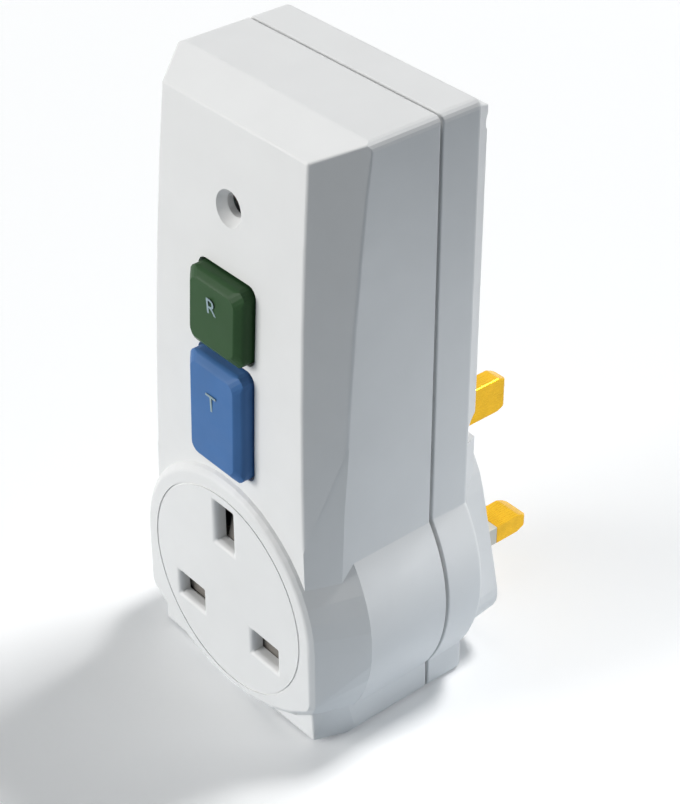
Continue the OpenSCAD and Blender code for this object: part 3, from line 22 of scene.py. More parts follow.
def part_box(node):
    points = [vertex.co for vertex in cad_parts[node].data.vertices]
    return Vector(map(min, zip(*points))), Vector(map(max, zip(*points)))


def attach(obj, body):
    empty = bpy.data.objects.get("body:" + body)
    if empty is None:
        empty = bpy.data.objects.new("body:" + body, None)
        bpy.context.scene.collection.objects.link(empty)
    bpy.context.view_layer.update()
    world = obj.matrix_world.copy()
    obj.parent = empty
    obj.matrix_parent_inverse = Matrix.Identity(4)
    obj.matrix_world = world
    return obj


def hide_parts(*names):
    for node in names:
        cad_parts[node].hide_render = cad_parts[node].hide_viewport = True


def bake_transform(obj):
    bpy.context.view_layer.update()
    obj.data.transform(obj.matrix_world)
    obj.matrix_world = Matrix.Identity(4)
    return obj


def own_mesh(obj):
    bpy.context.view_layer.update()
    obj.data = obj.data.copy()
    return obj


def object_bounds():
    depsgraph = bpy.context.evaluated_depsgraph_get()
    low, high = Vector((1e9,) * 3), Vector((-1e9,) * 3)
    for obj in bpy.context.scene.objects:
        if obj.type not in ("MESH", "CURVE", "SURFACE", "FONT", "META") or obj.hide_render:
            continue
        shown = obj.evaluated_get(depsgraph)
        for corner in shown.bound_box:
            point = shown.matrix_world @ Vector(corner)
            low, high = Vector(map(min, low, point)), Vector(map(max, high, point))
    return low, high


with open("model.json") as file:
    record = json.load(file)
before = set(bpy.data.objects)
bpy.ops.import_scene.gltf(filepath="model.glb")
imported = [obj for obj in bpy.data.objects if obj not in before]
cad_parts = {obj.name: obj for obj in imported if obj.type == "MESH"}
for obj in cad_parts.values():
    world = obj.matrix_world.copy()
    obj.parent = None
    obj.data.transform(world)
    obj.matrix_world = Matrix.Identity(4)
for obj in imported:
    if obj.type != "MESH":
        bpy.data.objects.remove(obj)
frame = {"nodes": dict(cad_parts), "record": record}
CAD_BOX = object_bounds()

LOG = logging.getLogger("adapter")
RECORD = frame["record"]
SLOT_OF = {row["node"]: row["material_slot"] for row in RECORD["subparts"]}
BODY_OF = {node: body for body, nodes in RECORD["behaviour"]["bodies"].items() for node in nodes}

Colour = tuple[float, float, float]
Triple = tuple[float, float, float]

MM = 0.001
WHITE = (1.0, 1.0, 1.0, 1.0)
# Points nearer than this are one point, in metres
SAME_POINT = 2.0e-6
# Faces that turn by less than this are one flat face
FLAT_TURN = math.radians(0.5)
# Twice the area, in square metres, under which a triangle is too small to be seen
LEAST_TWICE_AREA = 2.0e-9
# Step away from a surface before a ray leaves it, in metres
RAY_STEP = 3.0e-4
# Turn about X that lays what was drawn along Z along Y
ALONG_Y = (-math.pi / 2, 0.0, 0.0)


class Axis(Enum):
    """Directions in the part's frame."""

    X = (1.0, 0.0, 0.0)
    Y = (0.0, 1.0, 0.0)
    Z = (0.0, 0.0, 1.0)


class NodeBuilder:
    """Short calls that add nodes to one node tree."""

    def __init__(self, tree: bpy.types.NodeTree) -> None:
        """Keeps the tree to build in."""
        self.tree = tree

    def feed(self, socket: bpy.types.NodeSocket, value: object) -> None:
        """Links an input or sets its value.

        Args:
            socket: The input.
            value: A socket to link, or a plain value.
        """
        if isinstance(value, bpy.types.NodeSocket):
            self.tree.links.new(value, socket)
        else:
            socket.default_value = value

    def add(self, kind: str, settings: Optional[dict] = None, *values: object,
            **inputs: object) -> bpy.types.Node:
        """Adds a node and feeds its inputs.

        Args:
            kind: The node's type name.
            settings: Properties of the node itself.
            *values: What its first inputs take, in their order.
            **inputs: What other inputs take, by input name with _ for a space.

        Returns:
            The new node.
        """
        node = self.tree.nodes.new(kind)
        for key, value in (settings or {}).items():
            setattr(node, key, value)
        for socket, value in zip(node.inputs, values):
            self.feed(socket, value)
        for key, value in inputs.items():
            self.feed(node.inputs[key.replace("_", " ")], value)
        return node

    def seen(self) -> bpy.types.NodeSocket:
        """Tells what the camera, mirrors and glass see from what only lights the part.

        Returns:
            A socket that is 1 for what is seen and else 0.
        """
        path = self.add("ShaderNodeLightPath")
        rays = path.outputs["Is Camera Ray"]
        for name in ("Is Glossy Ray", "Is Transmission Ray"):
            most = self.add("ShaderNodeMath", {"operation": "MAXIMUM"}, rays, path.outputs[name])
            rays = most.outputs[0]
        return rays


class Recipe(NodeBuilder):
    """Short calls that build one material."""

    def __init__(self, name: str) -> None:
        """Starts an empty node material.

        Args:
            name: The material's name.
        """
        self.material = bpy.data.materials.new(name)
        self.material.use_nodes = True
        super().__init__(self.material.node_tree)
        self.tree.nodes.clear()
        self.output = self.add("ShaderNodeOutputMaterial")
        self.place = self.add("ShaderNodeTexCoord").outputs["Object"]

    def noise(self, size_mm: float, detail: float,
              stretch: Triple = (1.0, 1.0, 1.0)) -> bpy.types.NodeSocket:
        """Adds a noise pattern in the piece's own place.

        Args:
            size_mm: Size of the pattern's features.
            detail: Octaves of finer noise.
            stretch: Scale along each axis.

        Returns:
            The noise value's socket.
        """
        place = self.add("ShaderNodeMapping", Vector=self.place, Scale=stretch)
        pattern = self.add("ShaderNodeTexNoise", Vector=place.outputs["Vector"],
                           Scale=1.0 / (size_mm * MM), Detail=detail)
        return pattern.outputs["Fac"]

    def remap(self, value: bpy.types.NodeSocket, low: float, high: float, start: float = 0.3,
              end: float = 0.7) -> bpy.types.NodeSocket:
        """Maps a pattern's usual span onto another one.

        Args:
            value: The pattern.
            low: Result at the start of the span.
            high: Result at the end of the span.
            start: Start of the pattern's span.
            end: End of the pattern's span.

        Returns:
            The mapped value's socket.
        """
        node = self.add("ShaderNodeMapRange", Value=value, From_Min=start, From_Max=end,
                        To_Min=low, To_Max=high)
        return node.outputs["Result"]

    def tint(self, colour: Colour, factor: bpy.types.NodeSocket) -> bpy.types.NodeSocket:
        """Multiplies a colour by a pattern.

        Args:
            colour: The plain colour.
            factor: The pattern, about 1.

        Returns:
            The varied colour's socket.
        """
        node = self.add("ShaderNodeVectorMath", {"operation": "SCALE"}, colour, Scale=factor)
        return node.outputs["Vector"]

    def bump(self, height: bpy.types.NodeSocket, depth_mm: float) -> bpy.types.NodeSocket:
        """Turns a pattern into relief.

        Args:
            height: The pattern.
            depth_mm: Height of the relief.

        Returns:
            The normal's socket.
        """
        node = self.add("ShaderNodeBump", Height=height, Distance=depth_mm * MM, Strength=1.0)
        return node.outputs["Normal"]

    def finish(self, kind: str, *values: object, **inputs: object) -> bpy.types.Material:
        """Adds the last shader and links it to the output.

        Args:
            kind: The shader's type name.
            *values: What its first inputs take, in their order.
            **inputs: What other inputs take, by input name with _ for a space.

        Returns:
            The finished material.
        """
        shader = self.add(kind, None, *values, **inputs)
        self.tree.links.new(shader.outputs[0], self.output.inputs["Surface"])
        return self.material


class Finish(Protocol):
    """What every finish offers."""

    def make(self) -> bpy.types.Material:
        """Builds the material and returns it."""


@dataclass(frozen=True)
class MouldedFinish:
    """Moulded plastic with a fine spark texture and slight unevenness."""

    name: str
    colour: Colour
    roughness: float = 0.42
    grain_mm: float = 0.22
    grain_depth_mm: float = 0.006
    mottle: float = 0.03
    mottle_mm: float = 9.0
    scuff: float = 0.06
    scuff_mm: float = 3.5
    specular: float = 0.5

    def make(self) -> bpy.types.Material:
        """Builds the material.

        Returns:
            The new material.
        """
        recipe = Recipe(self.name)
        cloud = recipe.noise(self.mottle_mm, detail=3.0)
        base = recipe.tint(self.colour, recipe.remap(cloud, 1.0 - self.mottle, 1.0 + self.mottle))
        rubbed = recipe.noise(self.scuff_mm, detail=4.0)
        sheen = recipe.remap(rubbed, self.roughness - self.scuff, self.roughness + self.scuff)
        grain = recipe.bump(recipe.noise(self.grain_mm, detail=2.0), self.grain_depth_mm)
        return recipe.finish("ShaderNodeBsdfPrincipled", Base_Color=base, Roughness=sheen,
                             Normal=grain, Specular_IOR_Level=self.specular)


@dataclass(frozen=True)
class MetalFinish:
    """Bare metal with drawn lines along one axis, tarnish and fine scratches."""

    name: str
    colour: Colour
    roughness: float = 0.26
    smoother: float = 0.07
    rougher: float = 0.09
    along: Axis = Axis.Y
    line_mm: float = 0.12
    line_depth_mm: float = 0.004
    line_draw: float = 0.06
    tarnish: float = 0.12
    tarnish_mm: float = 4.0
    bright: float = 0.4

    def make(self) -> bpy.types.Material:
        """Builds the material.

        Returns:
            The new material.
        """
        recipe = Recipe(self.name)
        stretch = tuple(self.line_draw if part else 1.0 for part in self.along.value)
        lines = recipe.noise(self.line_mm, detail=3.0, stretch=stretch)
        cloud = recipe.noise(self.tarnish_mm, detail=4.0)
        span = (1.0 - self.tarnish, 1.0 + self.bright * self.tarnish)
        base = recipe.tint(self.colour, recipe.remap(cloud, *span))
        sheen = recipe.remap(lines, self.roughness - self.smoother, self.roughness + self.rougher)
        relief = recipe.bump(lines, self.line_depth_mm)
        return recipe.finish("ShaderNodeBsdfPrincipled", Base_Color=base, Roughness=sheen,
                             Normal=relief, Metallic=1.0)


@dataclass(frozen=True)
class ClearFinish:
    """Clear moulding of the indicator's lens."""

    name: str
    colour: Colour
    roughness: float = 0.06
    haze: float = 0.05
    haze_mm: float = 0.8
    ripple_mm: float = 1.5
    ripple_depth_mm: float = 0.003
    bending: float = 1.49

    def make(self) -> bpy.types.Material:
        """Builds the material.

        Returns:
            The new material.
        """
        recipe = Recipe(self.name)
        cloud = recipe.noise(self.haze_mm, detail=3.0)
        sheen = recipe.remap(cloud, self.roughness, self.roughness + self.haze)
        relief = recipe.bump(recipe.noise(self.ripple_mm, detail=2.0), self.ripple_depth_mm)
        return recipe.finish("ShaderNodeBsdfPrincipled", Base_Color=(*self.colour, 1.0),
                             Roughness=sheen, Normal=relief, IOR=self.bending,
                             Transmission_Weight=1.0)


@dataclass(frozen=True)
class WoundFinish:
    """Enamelled wire laid side by side, drawn as fine bands along Z, with painted shade between the
    turns and a painted highlight on them.
    """

    name: str
    colour: Colour
    wire_mm: float = 0.25
    wave_radians: float = 20.0
    waver: float = 0.4
    # Colour shares of the painted shade between the turns and the painted highlight on them
    shade: tuple[float, float] = (0.55, 1.1)
    relief_mm: float = 0.05
    metallic: float = 0.8
    roughness: float = 0.35

    def make(self) -> bpy.types.Material:
        """Builds the material.

        Returns:
            The new material.
        """
        recipe = Recipe(self.name)
        scale = math.pi / (self.wire_mm * MM) / self.wave_radians
        wave = recipe.add("ShaderNodeTexWave", {"bands_direction": "Z"}, Vector=recipe.place,
                          Scale=scale, Distortion=self.waver, Detail=1.0).outputs["Fac"]
        # Painted shade and highlight: the copper is darker between the turns and brighter on them
        base = recipe.tint(self.colour, recipe.remap(wave, *self.shade, 0.0, 1.0))
        relief = recipe.bump(wave, self.relief_mm)
        return recipe.finish("ShaderNodeBsdfPrincipled", Base_Color=base, Normal=relief,
                             Metallic=self.metallic, Roughness=self.roughness)


@dataclass(frozen=True)
class BoardFinish:
    """Solder mask over faint straight tracks."""

    name: str
    colour: Colour
    track_mm: float = 2.2
    rows_per_unit: float = 4.0
    shift: float = 0.37
    gap: float = 0.035
    gap_blur: float = 0.3
    shade: tuple[float, float] = (0.8, 1.7)
    relief_mm: float = 0.035
    roughness: float = 0.32

    def make(self) -> bpy.types.Material:
        """Builds the material.

        Returns:
            The new material.
        """
        recipe = Recipe(self.name)
        upright = recipe.add("ShaderNodeMapping", Vector=recipe.place,
                             Rotation=(math.pi / 2, 0.0, 0.0))
        tracks = recipe.add("ShaderNodeTexBrick", {"offset": self.shift},
                            Vector=upright.outputs["Vector"],
                            Scale=1.0 / (self.track_mm * MM * self.rows_per_unit),
                            Mortar_Size=self.gap, Mortar_Smooth=self.gap_blur).outputs["Fac"]
        base = recipe.tint(self.colour, recipe.remap(tracks, *self.shade, 0.0, 1.0))
        relief = recipe.bump(tracks, self.relief_mm)
        return recipe.finish("ShaderNodeBsdfPrincipled", Base_Color=base, Normal=relief,
                             Roughness=self.roughness)


@dataclass(frozen=True)
class FloorFinish:
    """Pale sweep that is white to the camera, keeps the part's shadow and fades out far away.

    Its colour for the light that it throws back on the part is painted light: cool, bright near the
    part and dimmer with distance.
    """

    name: str
    shade: float = 0.97
    # Tint, near and far level and reach of the painted light that the floor throws back on the part
    back: Colour = (0.82, 0.91, 1.0)
    near: float = 0.72
    far: float = 0.22
    reach: tuple[float, float] = (0.06, 0.26)
    glow: float = 0.10
    fade: tuple[float, float] = (0.32, 1.10)

    def make(self) -> bpy.types.Material:
        """Builds the material.

        Returns:
            The new material.
        """
        recipe = Recipe(self.name)
        length = recipe.add("ShaderNodeVectorMath", {"operation": "LENGTH"}, recipe.place)
        away = length.outputs["Value"]
        # Painted light: the floor throws back more light near the part, by its colour alone
        painted_light_pool = recipe.tint(self.back, recipe.remap(away, self.near, self.far, *self.reach))
        painted_light_bounce = recipe.add("ShaderNodeBsdfDiffuse", Color=painted_light_pool)
        matt = recipe.add("ShaderNodeBsdfDiffuse", Color=(self.shade, self.shade, self.shade, 1.0))
        haze = recipe.remap(away, self.glow, 1.0, *self.fade)
        glow = recipe.add("ShaderNodeEmission", Color=WHITE, Strength=haze)
        bright = recipe.add("ShaderNodeAddShader", None, matt.outputs[0], glow.outputs[0])
        return recipe.finish("ShaderNodeMixShader", recipe.seen(), painted_light_bounce.outputs[0],
                             bright.outputs[0])


@dataclass(frozen=True)
class EdgeSoftening:
    """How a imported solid's sharp edges are rounded on its copy.

    Stray, narrow and bar are in widths of the round: how far a round may stray from the solid,
    how slim a face has to be to keep its edges, and how far from a stray point edges stay sharp.
    """

    width_mm: float
    segments: int = 3
    least_turn_deg: float = 24.0
    merge_mm: float = 0.03
    outer_only: bool = False
    crease_deg: float = 12.0
    stray: float = 0.55
    narrow: float = 1.6
    bar: float = 2.0
    tries: int = 16


def place_piece(piece: bpy.types.Object, material: bpy.types.Material, node: str,
                stands_for: bool = True) -> None:
    """Gives a finished piece its material and its body.

    Args:
        piece: The piece's object, at the origin.
        material: Its finish.
        node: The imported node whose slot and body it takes.
        stands_for: Whether the piece replaces that node.
    """
    piece.data.materials.clear()
    piece.data.materials.append(material)
    if stands_for:
        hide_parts(node)
    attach(piece, BODY_OF[node])
    LOG.info("piece %s: %d faces on %s", piece.name, len(piece.data.polygons), BODY_OF[node])


def evaluated_mesh(thing: bpy.types.Object) -> bpy.types.Mesh:
    """Makes a plain mesh of an object with its modifiers or its curve worked out.

    Args:
        thing: The object, linked to the scene.

    Returns:
        The new mesh.
    """
    graph = bpy.context.evaluated_depsgraph_get()
    return bpy.data.meshes.new_from_object(thing.evaluated_get(graph), depsgraph=graph)


def new_piece(name: str, mesh: bpy.types.Mesh, smooth_deg: Optional[float] = 32.0,
              large_first: int = 90) -> bpy.types.Object:
    """Links a mesh as an object with smooth faces, creases and normals led by its large faces.

    Args:
        name: The piece's name.
        mesh: Its mesh, in the part's frame.
        smooth_deg: Turn above which an edge stays sharp; none keeps the creases that are marked.
        large_first: How much the large faces lead, from 1 to 100, where 50 is even.

    Returns:
        The new object.
    """
    if smooth_deg is None:
        mesh.attributes.new("sharp_face", "BOOLEAN", "FACE")
    else:
        mesh.shade_smooth()
        mesh.set_sharp_from_angle(angle=math.radians(smooth_deg))
    piece = bpy.data.objects.new(name, mesh)
    bpy.context.scene.collection.objects.link(piece)
    even = piece.modifiers.new("even normals", "WEIGHTED_NORMAL")
    even.keep_sharp = True
    even.weight = large_first
    shaded = evaluated_mesh(piece)
    piece.modifiers.remove(even)
    piece.data = shaded
    bpy.data.meshes.remove(mesh)
    shaded.name = name
    return piece


def merged_copy(node: str, apart: float = SAME_POINT) -> bmesh.types.BMesh:
    """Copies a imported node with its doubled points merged.

    Args:
        node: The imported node's name.
        apart: Distance in metres under which points are one.

    Returns:
        The copy.
    """
    bm = bmesh.new()
    bm.from_mesh(frame["nodes"][node].data)
    bmesh.ops.remove_doubles(bm, verts=bm.verts, dist=apart)
    return bm


def join_flat_faces(bm: bmesh.types.BMesh) -> None:
    """Joins the triangles of each flat face."""
    bmesh.ops.dissolve_limit(bm, angle_limit=FLAT_TURN, verts=bm.verts, edges=bm.edges)


def faces_out(edge: bmesh.types.BMEdge, tree: BVHTree) -> bool:
    """Tells whether a straight way out from an edge meets nothing of its mesh.

    Args:
        edge: An edge between two faces.
        tree: The mesh that it belongs to.

    Returns:
        True for an edge on the outside.
    """
    normal = (edge.link_faces[0].normal + edge.link_faces[1].normal).normalized()
    middle = (edge.verts[0].co + edge.verts[1].co) / 2.0
    return tree.ray_cast(middle + normal * RAY_STEP, normal)[0] is None


def has_turned(corners: Sequence[Vector], tree: BVHTree, most: float) -> bool:
    """Tells whether a triangle of a rounded mesh has left the surface or faces away from it.

    Args:
        corners: The triangle's three points.
        tree: The surface before the rounding.
        most: Distance from the surface that is still right.

    Returns:
        True for a triangle that is wrong; one too small to be seen is left alone.
    """
    normal = (corners[1] - corners[0]).cross(corners[2] - corners[0])
    if normal.length < LEAST_TWICE_AREA:
        return False
    _, facing, _, away = tree.find_nearest((corners[0] + corners[1] + corners[2]) / 3.0)
    return away > most or normal.dot(facing) < 0.0


def near_edge(edge: bmesh.types.BMEdge, point: Vector, reach: float) -> bool:
    """Tells whether a point lies within reach of an edge.

    Args:
        edge: The edge.
        point: The point.
        reach: The greatest distance that counts.

    Returns:
        True for a point that is near.
    """
    spot, share = intersect_point_line(point, edge.verts[0].co, edge.verts[1].co)
    if share < 0.0:
        spot = edge.verts[0].co
    elif share > 1.0:
        spot = edge.verts[1].co
    return (spot - point).length < reach


def edges_to_soften(source: bmesh.types.BMesh, tree: BVHTree, how: EdgeSoftening) -> set[int]:
    """Chooses the edges that get a round, and marks the creases that stay.

    Args:
        source: The mesh before the rounding.
        tree: The same mesh, to look up places.
        how: Width and choice of the edges.

    Returns:
        The chosen edges' numbers.
    """
    turn = math.radians(how.least_turn_deg)
    crease = math.radians(how.crease_deg)
    width = how.width_mm * MM
    slim = {f.index for f in source.faces
            if 2.0 * f.calc_area() < f.calc_perimeter() * width * how.narrow}
    wanted = set()
    for edge in source.edges:
        sharp = len(edge.link_faces) == 2 and edge.calc_face_angle(0.0) > turn
        if not sharp or any(face.index in slim for face in edge.link_faces):
            continue
        if not how.outer_only or faces_out(edge, tree):
            wanted.add(edge.index)
    for edge in source.edges:
        edge.smooth = edge.index in wanted or edge.calc_face_angle(0.0) < crease
    return wanted


def softened(node: str, name: str, how: EdgeSoftening) -> bpy.types.Object:
    """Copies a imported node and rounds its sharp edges, leaving out those whose round would stray.

    Args:
        node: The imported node's name.
        name: The new piece's name.
        how: Width and choice of the edges.

    Returns:
        The new object.
    """
    source = merged_copy(node, how.merge_mm * MM)
    bmesh.ops.dissolve_degenerate(source, dist=how.merge_mm * MM, edges=source.edges)
    join_flat_faces(source)
    source.normal_update()
    source.edges.ensure_lookup_table()
    tree = BVHTree.FromBMesh(source)
    wanted = edges_to_soften(source, tree, how)
    width = how.width_mm * MM
    most = width * how.stray
    for _ in range(how.tries):
        bm = source.copy()
        bm.edges.ensure_lookup_table()
        bmesh.ops.bevel(bm, geom=[bm.edges[i] for i in wanted], offset=width, offset_type="OFFSET",
                        segments=how.segments, profile=0.5, affect="EDGES", clamp_overlap=False,
                        loop_slide=True)
        strays = {v for v in bm.verts if tree.find_nearest(v.co)[3] > most}
        for corners in bm.calc_loop_triangles():
            if has_turned([loop.vert.co for loop in corners], tree, most):
                strays.update(loop.vert for loop in corners)
        if not strays:
            break
        near = [w.co for v in strays for w in (v, *(e.other_vert(v) for e in v.link_edges))]
        barred = {i for i in wanted
                  if any(near_edge(source.edges[i], p, width * how.bar) for p in near)}
        wanted -= barred
        for index in barred:
            source.edges[index].smooth = False
        LOG.info("%s: %d strays, %d edges left sharp", name, len(strays), len(barred))
        bm.free()
        bm = source.copy()
    bmesh.ops.recalc_face_normals(bm, faces=bm.faces)
    mesh = bpy.data.meshes.new(name)
    bm.to_mesh(mesh)
    bm.free()
    source.free()
    return new_piece(name, mesh, None)


class GrownTree(NodeBuilder):
    """A Geometry Nodes tree with named sizes that ends in real mesh with a material."""

    def __init__(self, name: str, sizes: dict[str, float]) -> None:
        """Starts a tree.

        Args:
            name: The tree's name.
            sizes: Named inputs and their values.
        """
        super().__init__(bpy.data.node_groups.new(name, "GeometryNodeTree"))
        face = self.tree.interface
        face.new_socket("Geometry", in_out="INPUT", socket_type="NodeSocketGeometry")
        self.sizes = sizes
        self.sockets = {key: face.new_socket(key, in_out="INPUT", socket_type="NodeSocketFloat")
                        for key in sizes}
        face.new_socket("Geometry", in_out="OUTPUT", socket_type="NodeSocketGeometry")
        self.start = self.add("NodeGroupInput")
        self.end = self.add("NodeGroupOutput")

    def feed(self, socket: bpy.types.NodeSocket, value: object) -> None:
        """Links an input or sets its value.

        Args:
            socket: The input.
            value: A socket to link, the name of a size, or a plain value.
        """
        super().feed(socket, self.start.outputs[value] if isinstance(value, str) else value)

    def times(self, first: object, second: object) -> bpy.types.NodeSocket:
        """Multiplies two sizes and returns the result's socket."""
        return self.add("ShaderNodeMath", {"operation": "MULTIPLY"}, first, second).outputs[0]

    def vector(self, x: object = 0.0, y: object = 0.0, z: object = 0.0) -> bpy.types.NodeSocket:
        """Joins three sizes into a vector and returns its socket."""
        return self.add("ShaderNodeCombineXYZ", X=x, Y=y, Z=z).outputs[0]

    def lower(self, shape: bpy.types.Node, by: object, share: float) -> bpy.types.Node:
        """Moves a shape along Z.

        Args:
            shape: The node that makes the shape.
            by: A socket or the name of a size.
            share: The part of that size to move by, below zero for down.

        Returns:
            The node that moves it.
        """
        return self.add("GeometryNodeTransform", Geometry=shape.outputs["Mesh"],
                        Translation=self.vector(z=self.times(by, share)))

    def on_seeds(self, shape: bpy.types.NodeSocket, turn: Triple) -> bpy.types.NodeSocket:
        """Sets copies of a shape on the seed points.

        Args:
            shape: The shape's socket.
            turn: How each copy is turned.

        Returns:
            The socket of the instances.
        """
        copies = self.add("GeometryNodeInstanceOnPoints", Points="Geometry", Instance=shape,
                          Rotation=turn)
        return copies.outputs[0]

    def grow(self, name: str, seeds: Sequence[Triple], geometry: bpy.types.NodeSocket,
             material: bpy.types.Material) -> bpy.types.Mesh:
        """Runs the tree on seed points and keeps the plain mesh.

        Args:
            name: The mesh's name.
            seeds: Points on which the tree grows its copies.
            geometry: The tree's result before it is made real.
            material: The finish that the tree sets.

        Returns:
            The grown mesh.
        """
        real = self.add("GeometryNodeRealizeInstances", Geometry=geometry)
        dressed = self.add("GeometryNodeSetMaterial", Geometry=real.outputs[0], Material=material)
        self.tree.links.new(dressed.outputs[0], self.end.inputs[0])
        points = bpy.data.meshes.new(f"{name}_seeds")
        points.from_pydata(seeds, [], [])
        holder = bpy.data.objects.new(f"{name}_seeds", points)
        bpy.context.scene.collection.objects.link(holder)
        modifier = holder.modifiers.new("grow", "NODES")
        modifier.node_group = self.tree
        for key, value in self.sizes.items():
            modifier[self.sockets[key].identifier] = value
        mesh = evaluated_mesh(holder)
        mesh.name = name
        holder.modifiers.remove(modifier)
        bpy.data.objects.remove(holder)
        return mesh


def low_high(points: Sequence[Vector]) -> tuple[Vector, Vector]:
    """Finds the box round some points.

    Args:
        points: The points.

    Returns:
        The box's lowest and highest corner.
    """
    low = Vector([min(p[k] for p in points) for k in range(3)])
    high = Vector([max(p[k] for p in points) for k in range(3)])
    return low, high


def solid_boxes(node: str) -> list[tuple[Vector, Vector]]:
    """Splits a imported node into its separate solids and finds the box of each.

    Args:
        node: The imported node's name.

    Returns:
        Lowest and highest corners, from the highest solid to the lowest and then by side.
    """
    bm = merged_copy(node)
    left = set(bm.verts)
    boxes = []
    while left:
        waiting = [left.pop()]
        group = []
        while waiting:
            vert = waiting.pop()
            group.append(vert.co.copy())
            for edge in vert.link_edges:
                other = edge.other_vert(vert)
                if other in left:
                    left.remove(other)
                    waiting.append(other)
        boxes.append(low_high(group))
    bm.free()
    return sorted(boxes, key=lambda box: (-round(box[1].z, 5), round(box[1].x, 5)))


@dataclass
class Shells:
    """Front and rear shell of the housing."""

    finish: MouldedFinish = MouldedFinish("white shell", (0.80, 0.80, 0.795), roughness=0.40,
                                          mottle=0.012, scuff=0.05, specular=0.35)
    front_edge: EdgeSoftening = EdgeSoftening(0.4, least_turn_deg=20.0, outer_only=True)
    rear_edge: EdgeSoftening = EdgeSoftening(0.3, outer_only=True)

    def build(self) -> None:
        """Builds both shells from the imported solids."""
        material = self.finish.make()
        for side, edge in (("front", self.front_edge), ("rear", self.rear_edge)):
            node = f"{side}_housing"
            place_piece(softened(node, f"{side}_shell", edge), material, node)


class ButtonKind(Enum):
    """The two buttons and the letter that marks each."""

    RESET = ("reset_button", "R")
    TEST = ("test_button", "T")


@dataclass
class Buttons:
    """Reset and test button with a printed letter each."""

    edge: EdgeSoftening = EdgeSoftening(0.6, segments=4, least_turn_deg=20.0)
    ink: MouldedFinish = MouldedFinish("pale print", (0.27, 0.37, 0.40), roughness=0.55,
                                       mottle=0.08, grain_mm=0.4)
    letter_mm: float = 5.0
    print_mm: float = 0.03
    print_steps: int = 6
    lift: float = 0.15
    top_facing: float = 0.95
    top_depth_mm: float = 0.4
    colours: dict[ButtonKind, Colour] = field(default_factory=lambda: {
        ButtonKind.RESET: (0.030, 0.078, 0.029), ButtonKind.TEST: (0.065, 0.168, 0.39)})

    def build(self) -> None:
        """Builds both buttons and their letters."""
        ink = self.ink.make()
        for kind in ButtonKind:
            node, letter = kind.value
            finish = MouldedFinish(f"{node} plastic", self.colours[kind], mottle=0.06,
                                   specular=0.12, grain_mm=0.3, grain_depth_mm=0.005)
            place_piece(softened(node, f"{node}_cap", self.edge), finish.make(), node)
            self.mark(node, letter, ink)

    def top(self, node: str) -> tuple[Vector, Vector, float]:
        """Finds a button's flat top.

        Args:
            node: The button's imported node.

        Returns:
            The top's middle, its outward normal and its height.
        """
        bm = merged_copy(node)
        join_flat_faces(bm)
        deepest = min(v.co.y for v in bm.verts) + self.top_depth_mm * MM
        faces = [f for f in bm.faces if f.normal.y < -self.top_facing
                 and min(v.co.y for v in f.verts) < deepest]
        face = max(faces, key=lambda f: f.calc_area())
        low, high = low_high([v.co for v in face.verts])
        found = (low + high) / 2.0, face.normal.copy(), high.z - low.z
        bm.free()
        return found

    def mark(self, node: str, letter: str, ink: bpy.types.Material) -> None:
        """Prints a letter on a button.

        Args:
            node: The button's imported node.
            letter: The letter.
            ink: The print's finish.
        """
        name = f"{node}_letter"
        middle, normal, height = self.top(node)
        curve = bpy.data.curves.new(name, "FONT")
        curve.body = letter
        curve.size = self.letter_mm * MM
        curve.align_x = "CENTER"
        curve.align_y = "CENTER"
        curve.extrude = self.print_mm * MM
        curve.resolution_u = self.print_steps
        holder = bpy.data.objects.new(f"{name}_curve", curve)
        bpy.context.scene.collection.objects.link(holder)
        mesh = evaluated_mesh(holder)
        bpy.data.objects.remove(holder)
        lean = math.atan2(-normal.z, -normal.y)
        spot = middle + Vector((0.0, 0.0, height * self.lift))
        turn = Euler((math.pi / 2 - lean, 0.0, 0.0)).to_matrix().to_4x4()
        mesh.transform(Matrix.Translation(spot) @ turn)
        place_piece(new_piece(name, mesh), ink, node, stands_for=False)


@dataclass
class PlugPins:
    """Three pins and the two sleeves at their feet."""

    brass: MetalFinish = MetalFinish("pin brass", (0.86, 0.50, 0.026), roughness=0.27)
    sleeve: MouldedFinish = MouldedFinish("pin sleeve", (0.74, 0.71, 0.63), roughness=0.45)
    pin_edge: EdgeSoftening = EdgeSoftening(0.25, segments=2, merge_mm=0.01)
    sleeve_edge: EdgeSoftening = EdgeSoftening(0.12, segments=2, merge_mm=0.01)

    def build(self) -> None:
        """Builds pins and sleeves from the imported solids."""
        brass = self.brass.make()
        sleeve = self.sleeve.make()
        for side in ("line", "neutral", "earth"):
            node = f"{side}_pin"
            place_piece(softened(node, f"{side}_blade", self.pin_edge), brass, node)
        for side in ("line", "neutral"):
            node = f"{side}_pin_sleeve"
            place_piece(softened(node, f"{side}_sleeve", self.sleeve_edge), sleeve, node)


